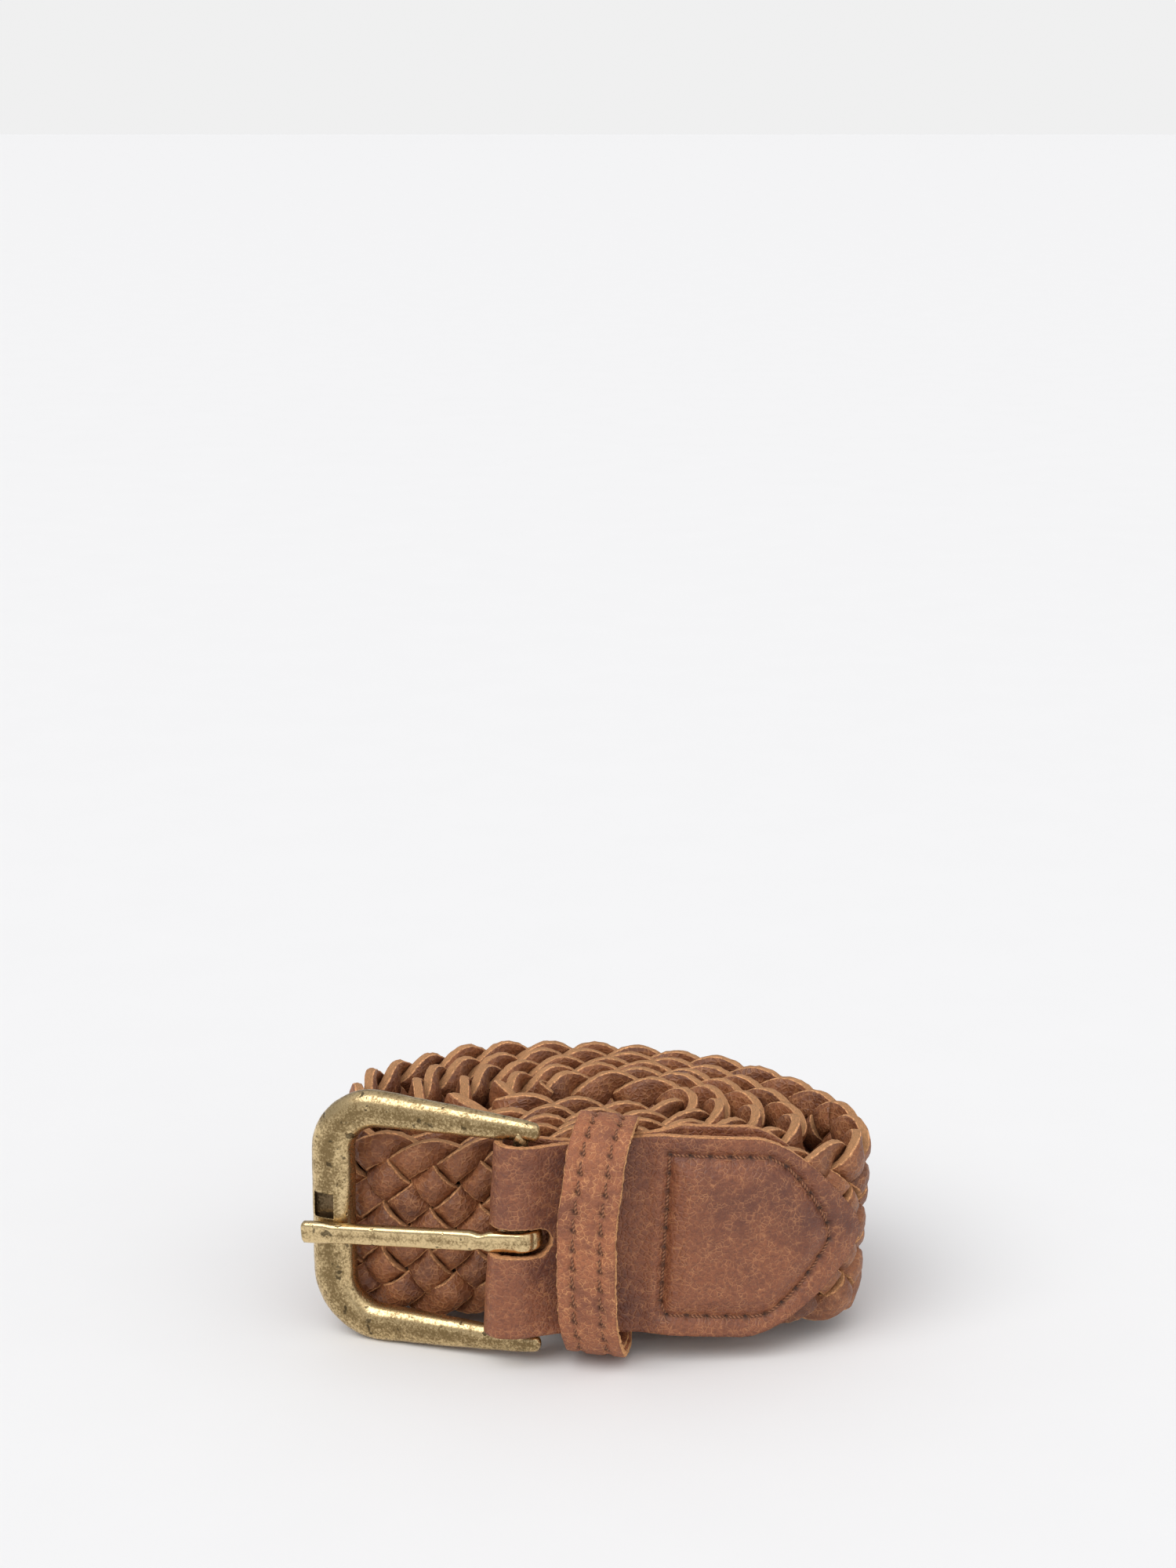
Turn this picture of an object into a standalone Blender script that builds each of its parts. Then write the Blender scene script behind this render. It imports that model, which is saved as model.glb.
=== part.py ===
"""A braided leather belt, wound into a coil and standing on its edge.

The belt is laid out in its own frame: x to the right, y to the back, z up the strap's width, with z = 0 at the
bottom edge of the leather. The last step tips that frame onto the floor, where the buckle, the keeper and the far
side of the coil carry the belt.
"""

import math

import bmesh
import bpy
from mathutils import Matrix, Quaternion, Vector

MM = 0.001

# Strap
LEATHER_WIDTH = 35.0 * MM  # the tab's width, bottom edge at z = 0
FOLD_WIDTH = 33.4 * MM
BRAID_WIDTH = 33.0 * MM
BRAID_THICKNESS = 4.0 * MM
LEATHER = 1.6 * MM
GAP = 0.3 * MM  # between pieces that lie on each other
MID_Z = LEATHER_WIDTH / 2
BRAID_Z = MID_Z - 1.0 * MM
CHAPE_SAG_Y = -25.0 * MM  # leather behind this line doesn't sag

# Coil, about its eye: distances to the outer turn's middle line, and where the turns are widest
COIL_FRONT = 33.2 * MM
COIL_BACK = 26.8 * MM
COIL_SIDE = 47.6 * MM
LEFT_EXTRA = 7.2 * MM  # how much wider the left side is, at first
LEFT_FALL = 1.2  # the share of that lost over the whole winding
WIDEST_Y = -16.0 * MM
FRONT_POWER = 3.0  # superellipse powers of each half turn
BACK_POWER = 2.0
TURNS = 5.17
PITCH = 4.8 * MM
BACK_PITCH = 4.5 * MM
SIDE_PITCH = 5.4 * MM
FIRST_TURN_EXTRA = 3.4 * MM  # how much further in the first turn ends, to clear the buckle end and the keeper
SIDE_SLACK = 10.0 * MM  # how much wider the outer turns stand at the sides
SLACK_TURNS = 0.8  # turns over which that's taken up
STEP_DEG = 9.0
# The turns behind the buckle hang lower: how far, and over which stretches towards the left and the front
COIL_SAG = 4.3 * MM
SAG_X = (-8.0 * MM, 20.0 * MM)
SAG_Y = (-6.0 * MM, 12.0 * MM)

# Buckle end of the strap
BRAID_START_X = 13.4 * MM
CHAPE_SHIFT = 0.6 * MM  # how far the folded leather stands in front of the braid's middle where the braid ends
CHAPE_LEAN = 0.1  # slope at which it leans outwards from there
CHAPE_SAG = 1.5 * MM  # how far the buckle end hangs down at the bar
BAR_X = -13.3 * MM
FOLD_X = -18.8 * MM  # outer face of the fold
SLOT_END_X = -8.2 * MM
SLOT_HALF_HEIGHT = 2.5 * MM
TAB_LENGTH = 42.7 * MM  # from x = 0 along the strap to the tab's point
TAB_POINT = 16.5 * MM  # length over which the tab narrows
TAB_BLUNT = 2.0 * MM  # half height of the tab at its point
# The fold's plan from the strap to the bar: (x, distance of each layer from the fold's middle)
FOLD_PLAN = [
    (8.0 * MM, 1.0 * MM),
    (0.5 * MM, 0.95 * MM),
    (-6.0 * MM, 1.05 * MM),
    (-9.8 * MM, 2.0 * MM),
    (-13.2 * MM, 3.3 * MM),
    (-16.6 * MM, 2.8 * MM),
]

# Where the strap bends when its buckle end is lifted off the coil
FLEX_DEG = 92.0
FLEX_GAP = 0.3 * MM

# Tip: the braid thinned between two leathers
TIP_LENGTH = 24.0 * MM
TIP_HALF_HEIGHT = 12.5 * MM
TIP_LEATHER = 1.1 * MM
TIP_CORE = 1.0 * MM
TIP_POINT = 14.0 * MM

# Thread
THREAD_RADIUS = 0.4 * MM
SEAM_START_X = 10.8 * MM
SEAM_INSET = 3.4 * MM
SEAM_TIP_INSET = 4.4 * MM
SEAM_POINT = 10.5 * MM  # length over which the seam narrows

# Keeper
KEEPER_X = 0.0 * MM
KEEPER_WIDTH = 9.9 * MM
KEEPER_LEATHER = 1.1 * MM
KEEPER_LINING = 0.6 * MM
KEEPER_TURN_DEG = -9.0
KEEPER_HALF_HEIGHT = 20.6 * MM
KEEPER_BACK = 6.4 * MM
KEEPER_BULGE = 9.4 * MM
KEEPER_ROW_OFFSET = 2.3 * MM
KEEPER_BOW = 1.6 * MM  # how far its middle is pushed towards the buckle
KEEPER_LEAN = 0.5 * MM  # how far its lower end stands towards the tab

# Buckle, laid out in its own plane: u runs from the bar to the far side, w up
BUCKLE_TURN_DEG = 20.0
ARM_END_U = -2.2 * MM
CROSS_U = 34.3 * MM
ARM_W = 18.95 * MM
ARM_FLARE = 0.5 * MM  # how much further apart the arms stand at the far side
CORNER_RADIUS = 8.6 * MM
FRAME_HALF_THICKNESS = 2.7 * MM
# Half width of the frame's section, at the arm's end, the corner and the far side
SECTION_END = 1.6 * MM
SECTION_CORNER = 3.2 * MM
SECTION_CROSS = 3.8 * MM
NOTCH = (3.8 * MM, 4.4 * MM, 1.4 * MM)  # along u, along w, deep
NOTCH_W = 1.6 * MM  # height of its middle above the prong's rest
BAR_RADIUS = 1.3 * MM
BAR_HALF_LENGTH = 19.0 * MM
BAR_PLAY = 0.15 * MM

# Prong
PRONG_LENGTH = 38.6 * MM
PRONG_HALF_WIDTH = 1.75 * MM
PRONG_HALF_THICKNESS = 1.1 * MM
PRONG_EYE = 3.6 * MM
PRONG_HOLE = 1.7 * MM
PRONG_SAG_DEG = 4.5
PRONG_TIP_V = 4.0 * MM  # how far the prong's middle stands off the frame's plane at the tip
PRONG_BEVEL = 0.4 * MM

# The floor under the belt, as slopes in the belt's frame, and the move that puts the origin below its middle
FLOOR_SLOPE_X = 0.055
FLOOR_SLOPE_Y = 0.052
ORIGIN_SHIFT = Vector((1.294, 8.55, 4.075)) * MM

COLOURS = {
    "braid": ((0.33, 0.125, 0.06), 0.62, 0.0),
    "leather": ((0.29, 0.105, 0.055), 0.5, 0.0),
    "keeper": ((0.36, 0.14, 0.07), 0.7, 0.0),
    "thread": ((0.2, 0.07, 0.03), 0.8, 0.0),
    "brass": ((0.52, 0.4, 0.19), 0.38, 1.0),
}


# --- scene helpers -----------------------------------------------------------------------------------------


def clear_scene():
    for obj in list(bpy.data.objects):
        bpy.data.objects.remove(obj)


def collection(name):
    made = bpy.data.collections.new(name)
    bpy.context.scene.collection.children.link(made)
    return made


def material(name):
    colour, roughness, metallic = COLOURS[name]
    made = bpy.data.materials.get(name) or bpy.data.materials.new(name)
    made.use_nodes = True
    shader = made.node_tree.nodes["Principled BSDF"]
    shader.inputs["Base Color"].default_value = (*colour, 1.0)
    shader.inputs["Roughness"].default_value = roughness
    shader.inputs["Metallic"].default_value = metallic
    return made


def add(name, data, surface, parent, where):
    obj = bpy.data.objects.new(name, data)
    where.objects.link(obj)
    obj.data.materials.append(material(surface))
    obj.parent = parent
    return obj


def as_mesh(obj):
    """The curve object as a mesh object with its caps welded."""
    bpy.context.view_layer.update()
    evaluated = obj.evaluated_get(bpy.context.evaluated_depsgraph_get())
    mesh = bpy.data.meshes.new_from_object(evaluated)
    made = bmesh.new()
    made.from_mesh(mesh)
    bmesh.ops.remove_doubles(made, verts=made.verts, dist=1e-6)
    bmesh.ops.recalc_face_normals(made, faces=made.faces)
    made.to_mesh(mesh)
    made.free()
    name, parent, home = obj.name, obj.parent, obj.users_collection[0]
    world = obj.matrix_world.copy()
    bpy.data.objects.remove(obj)
    solid = bpy.data.objects.new(name, mesh)
    home.objects.link(solid)
    solid.parent = parent
    solid.matrix_world = world
    return solid


def cut(obj, cutter):
    cutter.hide_render = True
    cutter.display_type = "WIRE"
    modifier = obj.modifiers.new("cut " + cutter.name, "BOOLEAN")
    modifier.operation = "DIFFERENCE"
    modifier.object = cutter


def flat_curve(name, outlines, half_thickness, bevel=0.0):
    """A filled 2D curve of closed outlines, extruded both ways along its own z."""
    curve = bpy.data.curves.new(name, "CURVE")
    curve.dimensions = "2D"
    curve.fill_mode = "BOTH"
    curve.extrude = half_thickness
    curve.bevel_depth = bevel
    curve.bevel_resolution = 0
    for outline in outlines:
        spline = curve.splines.new("POLY")
        spline.points.add(len(outline) - 1)
        for point, (x, y) in zip(spline.points, outline):
            point.co = (x, y, 0.0, 1.0)
        spline.use_cyclic_u = True
    return curve


def tube_curve(name, points, radius, cyclic, radii=None, sides=0):
    curve = bpy.data.curves.new(name, "CURVE")
    curve.dimensions = "3D"
    curve.bevel_depth = radius
    curve.bevel_resolution = sides
    curve.use_fill_caps = True
    spline = curve.splines.new("POLY")
    spline.points.add(len(points) - 1)
    for index, (point, place) in enumerate(zip(spline.points, points)):
        point.co = (*place, 1.0)
        point.radius = radii[index] if radii else 1.0
    spline.use_cyclic_u = cyclic
    return curve


def smooth_line(points, per_span):
    """A Catmull-Rom curve through the points, as many points a span as asked for."""
    line = []
    ends = [points[0], *points, points[-1]]
    for before, start, end, after in zip(ends, ends[1:], ends[2:], ends[3:]):
        for k in range(per_span):
            t = k / per_span
            line.append(
                0.5 * (2 * start + (end - before) * t
                       + (2 * before - 5 * start + 4 * end - after) * t * t
                       + (3 * start - before - 3 * end + after) * t * t * t)
            )
    return line + [points[-1]]


# --- the strap's path --------------------------------------------------------------------------------------


def smoothstep(t):
    t = min(max(t, 0.0), 1.0)
    return t * t * (3 - 2 * t)


def coil_point(angle):
    """The strap's middle line in plan, at an angle wound from the front towards the right.

    Each half turn is half a superellipse. Its middle moves from the outer turns' widest line to the eye.
    """
    turn = angle / math.tau
    left = 1 - turn / TURNS
    side, ahead = math.sin(angle), math.cos(angle)
    middle = WIDEST_Y * left
    width = COIL_SIDE - SIDE_PITCH * turn - SIDE_SLACK * (1 - math.exp(-turn / SLACK_TURNS))
    if side < 0:
        width += LEFT_EXTRA * (1 - LEFT_FALL * turn / TURNS)
    if ahead > 0:
        depth = COIL_FRONT - PITCH * turn - FIRST_TURN_EXTRA * smoothstep(turn) + middle
        power = 2 + (FRONT_POWER - 2) * left
    else:
        depth = COIL_BACK - BACK_PITCH * turn - middle
        power = BACK_POWER
    x = width * math.copysign(abs(side) ** (2 / power), side)
    return Vector((x, middle - depth * math.copysign(abs(ahead) ** (2 / power), ahead)))


def chape_middle(x):
    """The folded leather's middle in plan, which leans away from the coil towards the bar."""
    return -COIL_FRONT - CHAPE_SHIFT - CHAPE_LEAN * (BRAID_START_X - x)


def chape_z(x):
    """Height of the folded leather's middle, which sags towards the bar."""
    return MID_Z - CHAPE_SAG * smoothstep((BRAID_START_X - x) / (BRAID_START_X - BAR_X))


class Path:
    """The strap's middle line in plan, by its length from x = 0: straight before that, then the coil."""

    def __init__(self):
        steps = int(round(TURNS * 360 * 4 / STEP_DEG))
        self.points = [coil_point(TURNS * math.tau * k / steps) for k in range(steps + 1)]
        self.angles = [TURNS * math.tau * k / steps for k in range(steps + 1)]
        self.lengths = [0.0]
        for a, b in zip(self.points, self.points[1:]):
            self.lengths.append(self.lengths[-1] + (b - a).length)
        self.total = self.lengths[-1]

    def at(self, s):
        """(place, direction) at a length along the strap."""
        if s <= 0:
            return Vector((s, -COIL_FRONT)), Vector((1.0, 0.0))
        low, high = 0, len(self.lengths) - 1
        while high - low > 1:
            middle = (low + high) // 2
            low, high = (middle, high) if self.lengths[middle] <= s else (low, middle)
        share = (s - self.lengths[low]) / (self.lengths[high] - self.lengths[low])
        before = self.points[max(low - 1, 0)]
        after = self.points[min(high + 1, len(self.points) - 1)]
        start = (self.points[high] - before).normalized()
        end = (after - self.points[low]).normalized()
        return self.points[low].lerp(self.points[high], share), start.lerp(end, share).normalized()

    def offset(self, s, outward):
        place, along = self.at(s)
        return place + Vector((along.y, -along.x)) * outward

    def length_at(self, degrees):
        angle = math.radians(degrees)
        k = min(range(len(self.angles)), key=lambda i: abs(self.angles[i] - angle))
        return self.lengths[k]

    def stations(self, start, end):
        """Lengths from start to end, closer together where the coil is tight."""
        marks = [s for s in self.lengths[::4] if start + 0.5 * MM < s < end - 0.5 * MM]
        return [start, *marks, end]


def band_outline(path, start, end, half_thickness):
    """The plan of a strap of even thickness."""
    marks = path.stations(start, end)
    outer = [path.offset(s, half_thickness) for s in marks]
    inner = [path.offset(s, -half_thickness) for s in reversed(marks)]
    return [tuple(p) for p in outer + inner]


def belt_tilt():
    """The turn from the belt's frame to the floor's."""
    up = Vector((-FLOOR_SLOPE_X, -FLOOR_SLOPE_Y, 1.0)).normalized()
    return up.rotation_difference(Vector((0.0, 0.0, 1.0)))


# --- leather that narrows along its length ------------------------------------------------------------------


def ribbon(name, line, half_heights, thickness, level=MID_Z):
    """A leather of even thickness that stands on edge along a plan line, with its own height at each station.

    Each station is a rectangle across the leather, and neighbouring stations are joined face to face.
    """
    made = bmesh.new()
    rings = []
    for index, (place, half) in enumerate(zip(line, half_heights)):
        before, after = line[max(index - 1, 0)], line[min(index + 1, len(line) - 1)]
        along = (after - before).normalized()
        across = Vector((along.y, -along.x)) * thickness / 2
        corners = ((across, half), (across, -half), (-across, -half), (-across, half))
        middle = chape_z(place.x) if place.y < CHAPE_SAG_Y else level
        rings.append([made.verts.new((*(place + side), middle + up)) for side, up in corners])
    for first, second in zip(rings, rings[1:]):
        for k in range(4):
            made.faces.new((first[k], first[k - 3], second[k - 3], second[k]))
    made.faces.new(rings[0])
    made.faces.new(reversed(rings[-1]))
    bmesh.ops.recalc_face_normals(made, faces=made.faces)
    mesh = bpy.data.meshes.new(name)
    made.to_mesh(mesh)
    made.free()
    return mesh


def pointed_half_height(distance, length, blunt, full):
    """Half height at a distance from a rounded point."""
    if distance >= length:
        return full
    share = 1 - distance / length
    return blunt + (full - blunt) * (1 - share ** 1.43)


def tab_half_height(s):
    return pointed_half_height(TAB_LENGTH - s, TAB_POINT, TAB_BLUNT, LEATHER_WIDTH / 2)


def fold_half_height(x):
    return (FOLD_WIDTH + (LEATHER_WIDTH - FOLD_WIDTH) * smoothstep((x - SLOT_END_X) / (BRAID_START_X - SLOT_END_X))) / 2


# --- pieces --------------------------------------------------------------------------------------------------


def hang(coil):
    """Lets the turns behind the buckle hang lower."""
    for vertex in coil.data.vertices:
        left = smoothstep((SAG_X[0] - vertex.co.x) / SAG_X[1])
        front = smoothstep((SAG_Y[0] - vertex.co.y) / SAG_Y[1])
        vertex.co.z -= COIL_SAG * left * front


def make_strap(path, parent, where, cutters):
    """The braid, in the stretch that swings with the buckle end and the stretch that stays coiled."""
    flex = path.length_at(FLEX_DEG)
    outline = band_outline(path, BRAID_START_X, flex - FLEX_GAP / 2, BRAID_THICKNESS / 2)
    end = add("braid_buckle_end", flat_curve("end", [outline], BRAID_WIDTH / 2), "braid", parent, where)
    end.location.z = BRAID_Z
    core_start = path.total - TIP_LENGTH
    whole = band_outline(path, flex + FLEX_GAP / 2, core_start, BRAID_THICKNESS / 2)
    core = band_outline(path, core_start - 1.0 * MM, path.total - 5.0 * MM, TIP_CORE / 2)
    coil = as_mesh(add("braid_coil", flat_curve("coil", [whole], BRAID_WIDTH / 2), "braid", parent, where))
    coil.data.materials.append(material("braid"))
    coil.location.z = BRAID_Z
    hang(coil)
    tongue = flat_curve("tongue", [core], TIP_HALF_HEIGHT - 3.0 * MM)
    tongue = as_mesh(add("thinned_end", tongue, "braid", parent, cutters))
    tongue.location.z = BRAID_Z
    tongue.hide_render = True
    tongue.display_type = "WIRE"
    join = coil.modifiers.new("thinned end", "BOOLEAN")
    join.operation = "UNION"
    join.object = tongue
    return flex


def fold_line(path):
    """Plan of the folded leather: along the strap's outer face, round the bar, and back along its inner face."""
    off = BRAID_THICKNESS / 2 + GAP + LEATHER / 2
    marks = path.stations(BRAID_START_X - 0.8 * MM, TAB_LENGTH)
    front = [path.offset(s, off) for s in reversed(marks)]
    back = [path.offset(s, -off) for s in marks]
    turn = [Vector((x, chape_middle(x) - n)) for x, n in FOLD_PLAN]
    turn += [Vector((FOLD_X + LEATHER / 2, chape_middle(FOLD_X)))]
    turn += [Vector((x, chape_middle(x) + n)) for x, n in reversed(FOLD_PLAN)]
    line = front[:-1] + smooth_line([front[-1], *turn, back[0]], 3) + back[1:]
    heights = [tab_half_height(s) for s in reversed(marks)]
    fold = [fold_half_height(place.x) for place in line[len(marks):-len(marks)]]
    return line, heights + fold + heights[::-1]


def make_chape(path, parent, where, cutters):
    """One leather, folded round the bar with a slot for the prong and sewn to both faces of the braid."""
    line, heights = fold_line(path)
    chape = add("chape", ribbon("chape", line, heights, LEATHER), "leather", parent, where)
    start, end = FOLD_X - 4 * MM, SLOT_END_X - SLOT_HALF_HEIGHT
    arc = [math.pi / 2 - math.pi * k / 10 for k in range(11)]
    outline = [(start, -SLOT_HALF_HEIGHT), (start, SLOT_HALF_HEIGHT)]
    outline += [(end + SLOT_HALF_HEIGHT * math.cos(a), SLOT_HALF_HEIGHT * math.sin(a)) for a in arc]
    slot = add("slot_cutter", flat_curve("slot", [outline], 12 * MM), "leather", parent, cutters)
    slot.rotation_euler.x = math.pi / 2
    slot.location = (0.0, chape_middle(BAR_X), chape_z(BAR_X))
    cut(chape, as_mesh(slot))


def seam_points(path):
    """The D-shaped seam on the tab, as (length along the strap, height)."""
    top = LEATHER_WIDTH / 2 - SEAM_INSET
    end = TAB_LENGTH - SEAM_TIP_INSET
    upper = [SEAM_START_X + (end - SEAM_START_X) * k / 16 for k in range(17)]
    heights = [min(top, pointed_half_height(end - s, SEAM_POINT, 0.0, top)) for s in upper]
    right_side = list(zip(upper, heights))
    lower = [(s, -h) for s, h in reversed(right_side[:-1])]
    left_side = [(SEAM_START_X, -top + 2 * top * k / 8) for k in range(1, 8)]
    return right_side + lower + left_side


def make_seams(path, parent, where):
    off = BRAID_THICKNESS / 2 + GAP + LEATHER + GAP + THREAD_RADIUS
    points = [(*path.offset(s, off), MID_Z + h) for s, h in seam_points(path)]
    add("tab_stitching", tube_curve("seam", points, THREAD_RADIUS, True), "thread", parent, where)


def keeper_outline(inset):
    """The keeper seen along the strap, as (back, up): flat behind the strap, bulging in front of it."""
    back, bulge = KEEPER_BACK - inset, KEEPER_BULGE - inset
    half = KEEPER_HALF_HEIGHT - inset
    ring = []
    for k in range(32):
        angle = math.tau * k / 32
        side, up = math.cos(angle), math.sin(angle)
        depth = back if side > 0 else bulge
        power = 0.45 if side > 0 else 0.8
        ring.append((math.copysign(depth * abs(side) ** power, side), half * math.copysign(abs(up) ** 0.8, up)))
    return ring


def bow(loop):
    """Pushes the loop's middle along the strap."""
    for vertex in loop.data.vertices:
        up = vertex.co.y / KEEPER_HALF_HEIGHT
        vertex.co.z += KEEPER_LEAN * (1 - up) - KEEPER_BOW * max(0.0, 1 - up ** 2)


def make_keeper(parent, where):
    """A loose loop of leather with a lining, held together by two rows of stitches."""
    turn = bpy.data.objects.new("keeper_place", None)
    where.objects.link(turn)
    turn.parent = parent
    turn.location = (KEEPER_X, chape_middle(KEEPER_X), chape_z(KEEPER_X))
    turn.rotation_euler = (math.pi / 2, 0.0, math.radians(90 + KEEPER_TURN_DEG))
    depth = KEEPER_LEATHER + GAP
    for name, outer, inner, width in (
        ("keeper_loop", 0.0, KEEPER_LEATHER, KEEPER_WIDTH),
        ("keeper_lining", depth, depth + KEEPER_LINING, KEEPER_WIDTH - 1.0 * MM),
    ):
        rings = [keeper_outline(outer), keeper_outline(inner)]
        loop = as_mesh(add(name, flat_curve(name, rings, width / 2), "keeper", turn, where))
        loop.data.materials.append(material("keeper"))
        bow(loop)
    for name, side in (("keeper_stitching_left", -1), ("keeper_stitching_right", 1)):
        row = [(x, y, side * KEEPER_ROW_OFFSET) for x, y in keeper_outline(-GAP - THREAD_RADIUS)]
        row = as_mesh(add(name, tube_curve(name, row, THREAD_RADIUS, True), "thread", turn, where))
        row.data.materials.append(material("thread"))
        bow(row)


def frame_path():
    """Middle line of the frame's round section in (u, w), with its half width: arm, corner, far side."""
    straight_end = CROSS_U - CORNER_RADIUS
    far_w = ARM_W + ARM_FLARE
    arm = [(ARM_END_U + (straight_end - ARM_END_U) * k / 6, ARM_W + ARM_FLARE * k / 6) for k in range(6)]
    widths = [SECTION_END + (SECTION_CORNER - SECTION_END) * (k / 6) ** 0.8 for k in range(6)]
    for k in range(11):
        angle = math.pi / 2 * (1 - k / 10)
        u = straight_end + CORNER_RADIUS * math.cos(angle)
        w = far_w - CORNER_RADIUS + CORNER_RADIUS * math.sin(angle)
        arm.append((u, w))
        widths.append(SECTION_CORNER + (SECTION_CROSS - SECTION_CORNER) * k / 10)
    arm.append((CROSS_U, 0.0))
    widths.append(SECTION_CROSS)
    other = [(u, -w) for u, w in reversed(arm[:-1])]
    return arm + other, widths + widths[-2::-1]


def make_buckle(parent, where, cutters):
    """The frame on its bar. The empty at the bar turns the buckle towards the coil."""
    pivot = bpy.data.objects.new("bar_axis", None)
    where.objects.link(pivot)
    pivot.parent = parent
    pivot.location = (BAR_X, chape_middle(BAR_X), chape_z(BAR_X))
    turned = Quaternion((0.0, 0.0, 1.0), math.pi - math.radians(BUCKLE_TURN_DEG))
    pivot.rotation_mode = "QUATERNION"
    pivot.rotation_quaternion = belt_tilt().inverted() @ turned
    line, widths = frame_path()
    points = [(u, 0.0, w) for u, w in line]
    radii = [w / SECTION_CROSS for w in widths]
    curve = tube_curve("frame", points, SECTION_CROSS, False, radii, sides=2)
    frame = as_mesh(add("buckle_frame", curve, "brass", pivot, where))
    frame.data.transform(Matrix.Diagonal((1.0, FRAME_HALF_THICKNESS / SECTION_CROSS, 1.0, 1.0)))
    frame.data.materials.append(material("brass"))

    bpy.ops.mesh.primitive_cube_add(size=1.0)
    notch = bpy.context.object
    notch.name = "notch_cutter"
    notch.data.transform(Matrix.Diagonal((NOTCH[0], 2 * NOTCH[2], NOTCH[1], 1.0)))
    notch.location = (CROSS_U + 0.9 * MM, FRAME_HALF_THICKNESS, NOTCH_W)
    rehome(notch, pivot, cutters)
    cut(frame, notch)

    hole = upright_cylinder("bar_hole_cutter", BAR_RADIUS + BAR_PLAY, BAR_HALF_LENGTH + BAR_PLAY, pivot, cutters)
    cut(frame, hole)
    bar = upright_cylinder("buckle_bar", BAR_RADIUS, BAR_HALF_LENGTH, pivot, where)
    bar.data.materials.append(material("brass"))
    return pivot


def rehome(obj, parent, home):
    for old in list(obj.users_collection):
        old.objects.unlink(obj)
    home.objects.link(obj)
    obj.parent = parent


def upright_cylinder(name, radius, half_length, parent, home):
    bpy.ops.mesh.primitive_cylinder_add(vertices=20, radius=radius, depth=2 * half_length)
    made = bpy.context.object
    made.name = name
    rehome(made, parent, home)
    return made


def make_prong(pivot, where):
    """The prong seen from above, as (u, v): a bar that rests on the frame's far side, with an eye round the bar."""
    half = PRONG_HALF_THICKNESS
    join_angle = math.asin((PRONG_EYE - 2 * half) / PRONG_EYE)
    outline = [(PRONG_LENGTH, PRONG_TIP_V + half), (PRONG_LENGTH, PRONG_TIP_V - half)]
    turn = [join_angle - (math.pi * 1.5 + join_angle) * k / 18 for k in range(19)]
    outline += [(PRONG_EYE * math.cos(a), PRONG_EYE * math.sin(a)) for a in turn]
    hole = [
        (PRONG_HOLE * math.cos(math.tau * k / 20), PRONG_HOLE * math.sin(math.tau * k / 20)) for k in range(20)
    ]
    curve = flat_curve("prong", [outline, hole], PRONG_HALF_WIDTH - PRONG_BEVEL)
    prong = add("buckle_prong", curve, "brass", pivot, where)
    prong.rotation_euler = (0.0, math.radians(PRONG_SAG_DEG), 0.0)
    return prong


def make_tip(path, parent, where):
    """The two leathers and the thread on the strap's free end, at the middle of the coil."""
    off = TIP_CORE / 2 + GAP + TIP_LEATHER / 2
    marks = path.stations(path.total - TIP_LENGTH + GAP, path.total)
    heights = [pointed_half_height(path.total - s, TIP_POINT, 1.5 * MM, TIP_HALF_HEIGHT) for s in marks]
    for name, side in (("tip_outer_leather", 1), ("tip_inner_leather", -1)):
        line = [path.offset(s, side * off) for s in marks]
        add(name, ribbon(name, line, heights, TIP_LEATHER, BRAID_Z), "leather", parent, where)


def tip_onto_floor(root):
    """Stands the belt on its buckle, its keeper and the coil's far edge, with the origin under its middle."""
    root.rotation_mode = "QUATERNION"
    root.rotation_quaternion = belt_tilt()
    root.location = ORIGIN_SHIFT


def main():
    clear_scene()
    where, cutters = collection("braided_leather_belt"), collection("cutters")
    root = bpy.data.objects.new("belt_frame", None)
    where.objects.link(root)
    path = Path()
    make_strap(path, root, where, cutters)
    make_chape(path, root, where, cutters)
    make_seams(path, root, where)
    make_keeper(root, where)
    pivot = make_buckle(root, where, cutters)
    make_prong(pivot, where)
    make_tip(path, root, where)
    tip_onto_floor(root)
    return path


main()
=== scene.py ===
"""Looks for the braided leather belt: the plait, the sewn leathers, the stitches and the brass.

Lengths are in metres. Pieces are laid out in the belt's own frame, as in the CAD source: along the strap
from the point where its straight end meets the coil, outwards from its middle line, and up its width.
"""

import math

import bmesh
import bpy
import numpy as np
from mathutils import Matrix, Quaternion, Vector, noise


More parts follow.
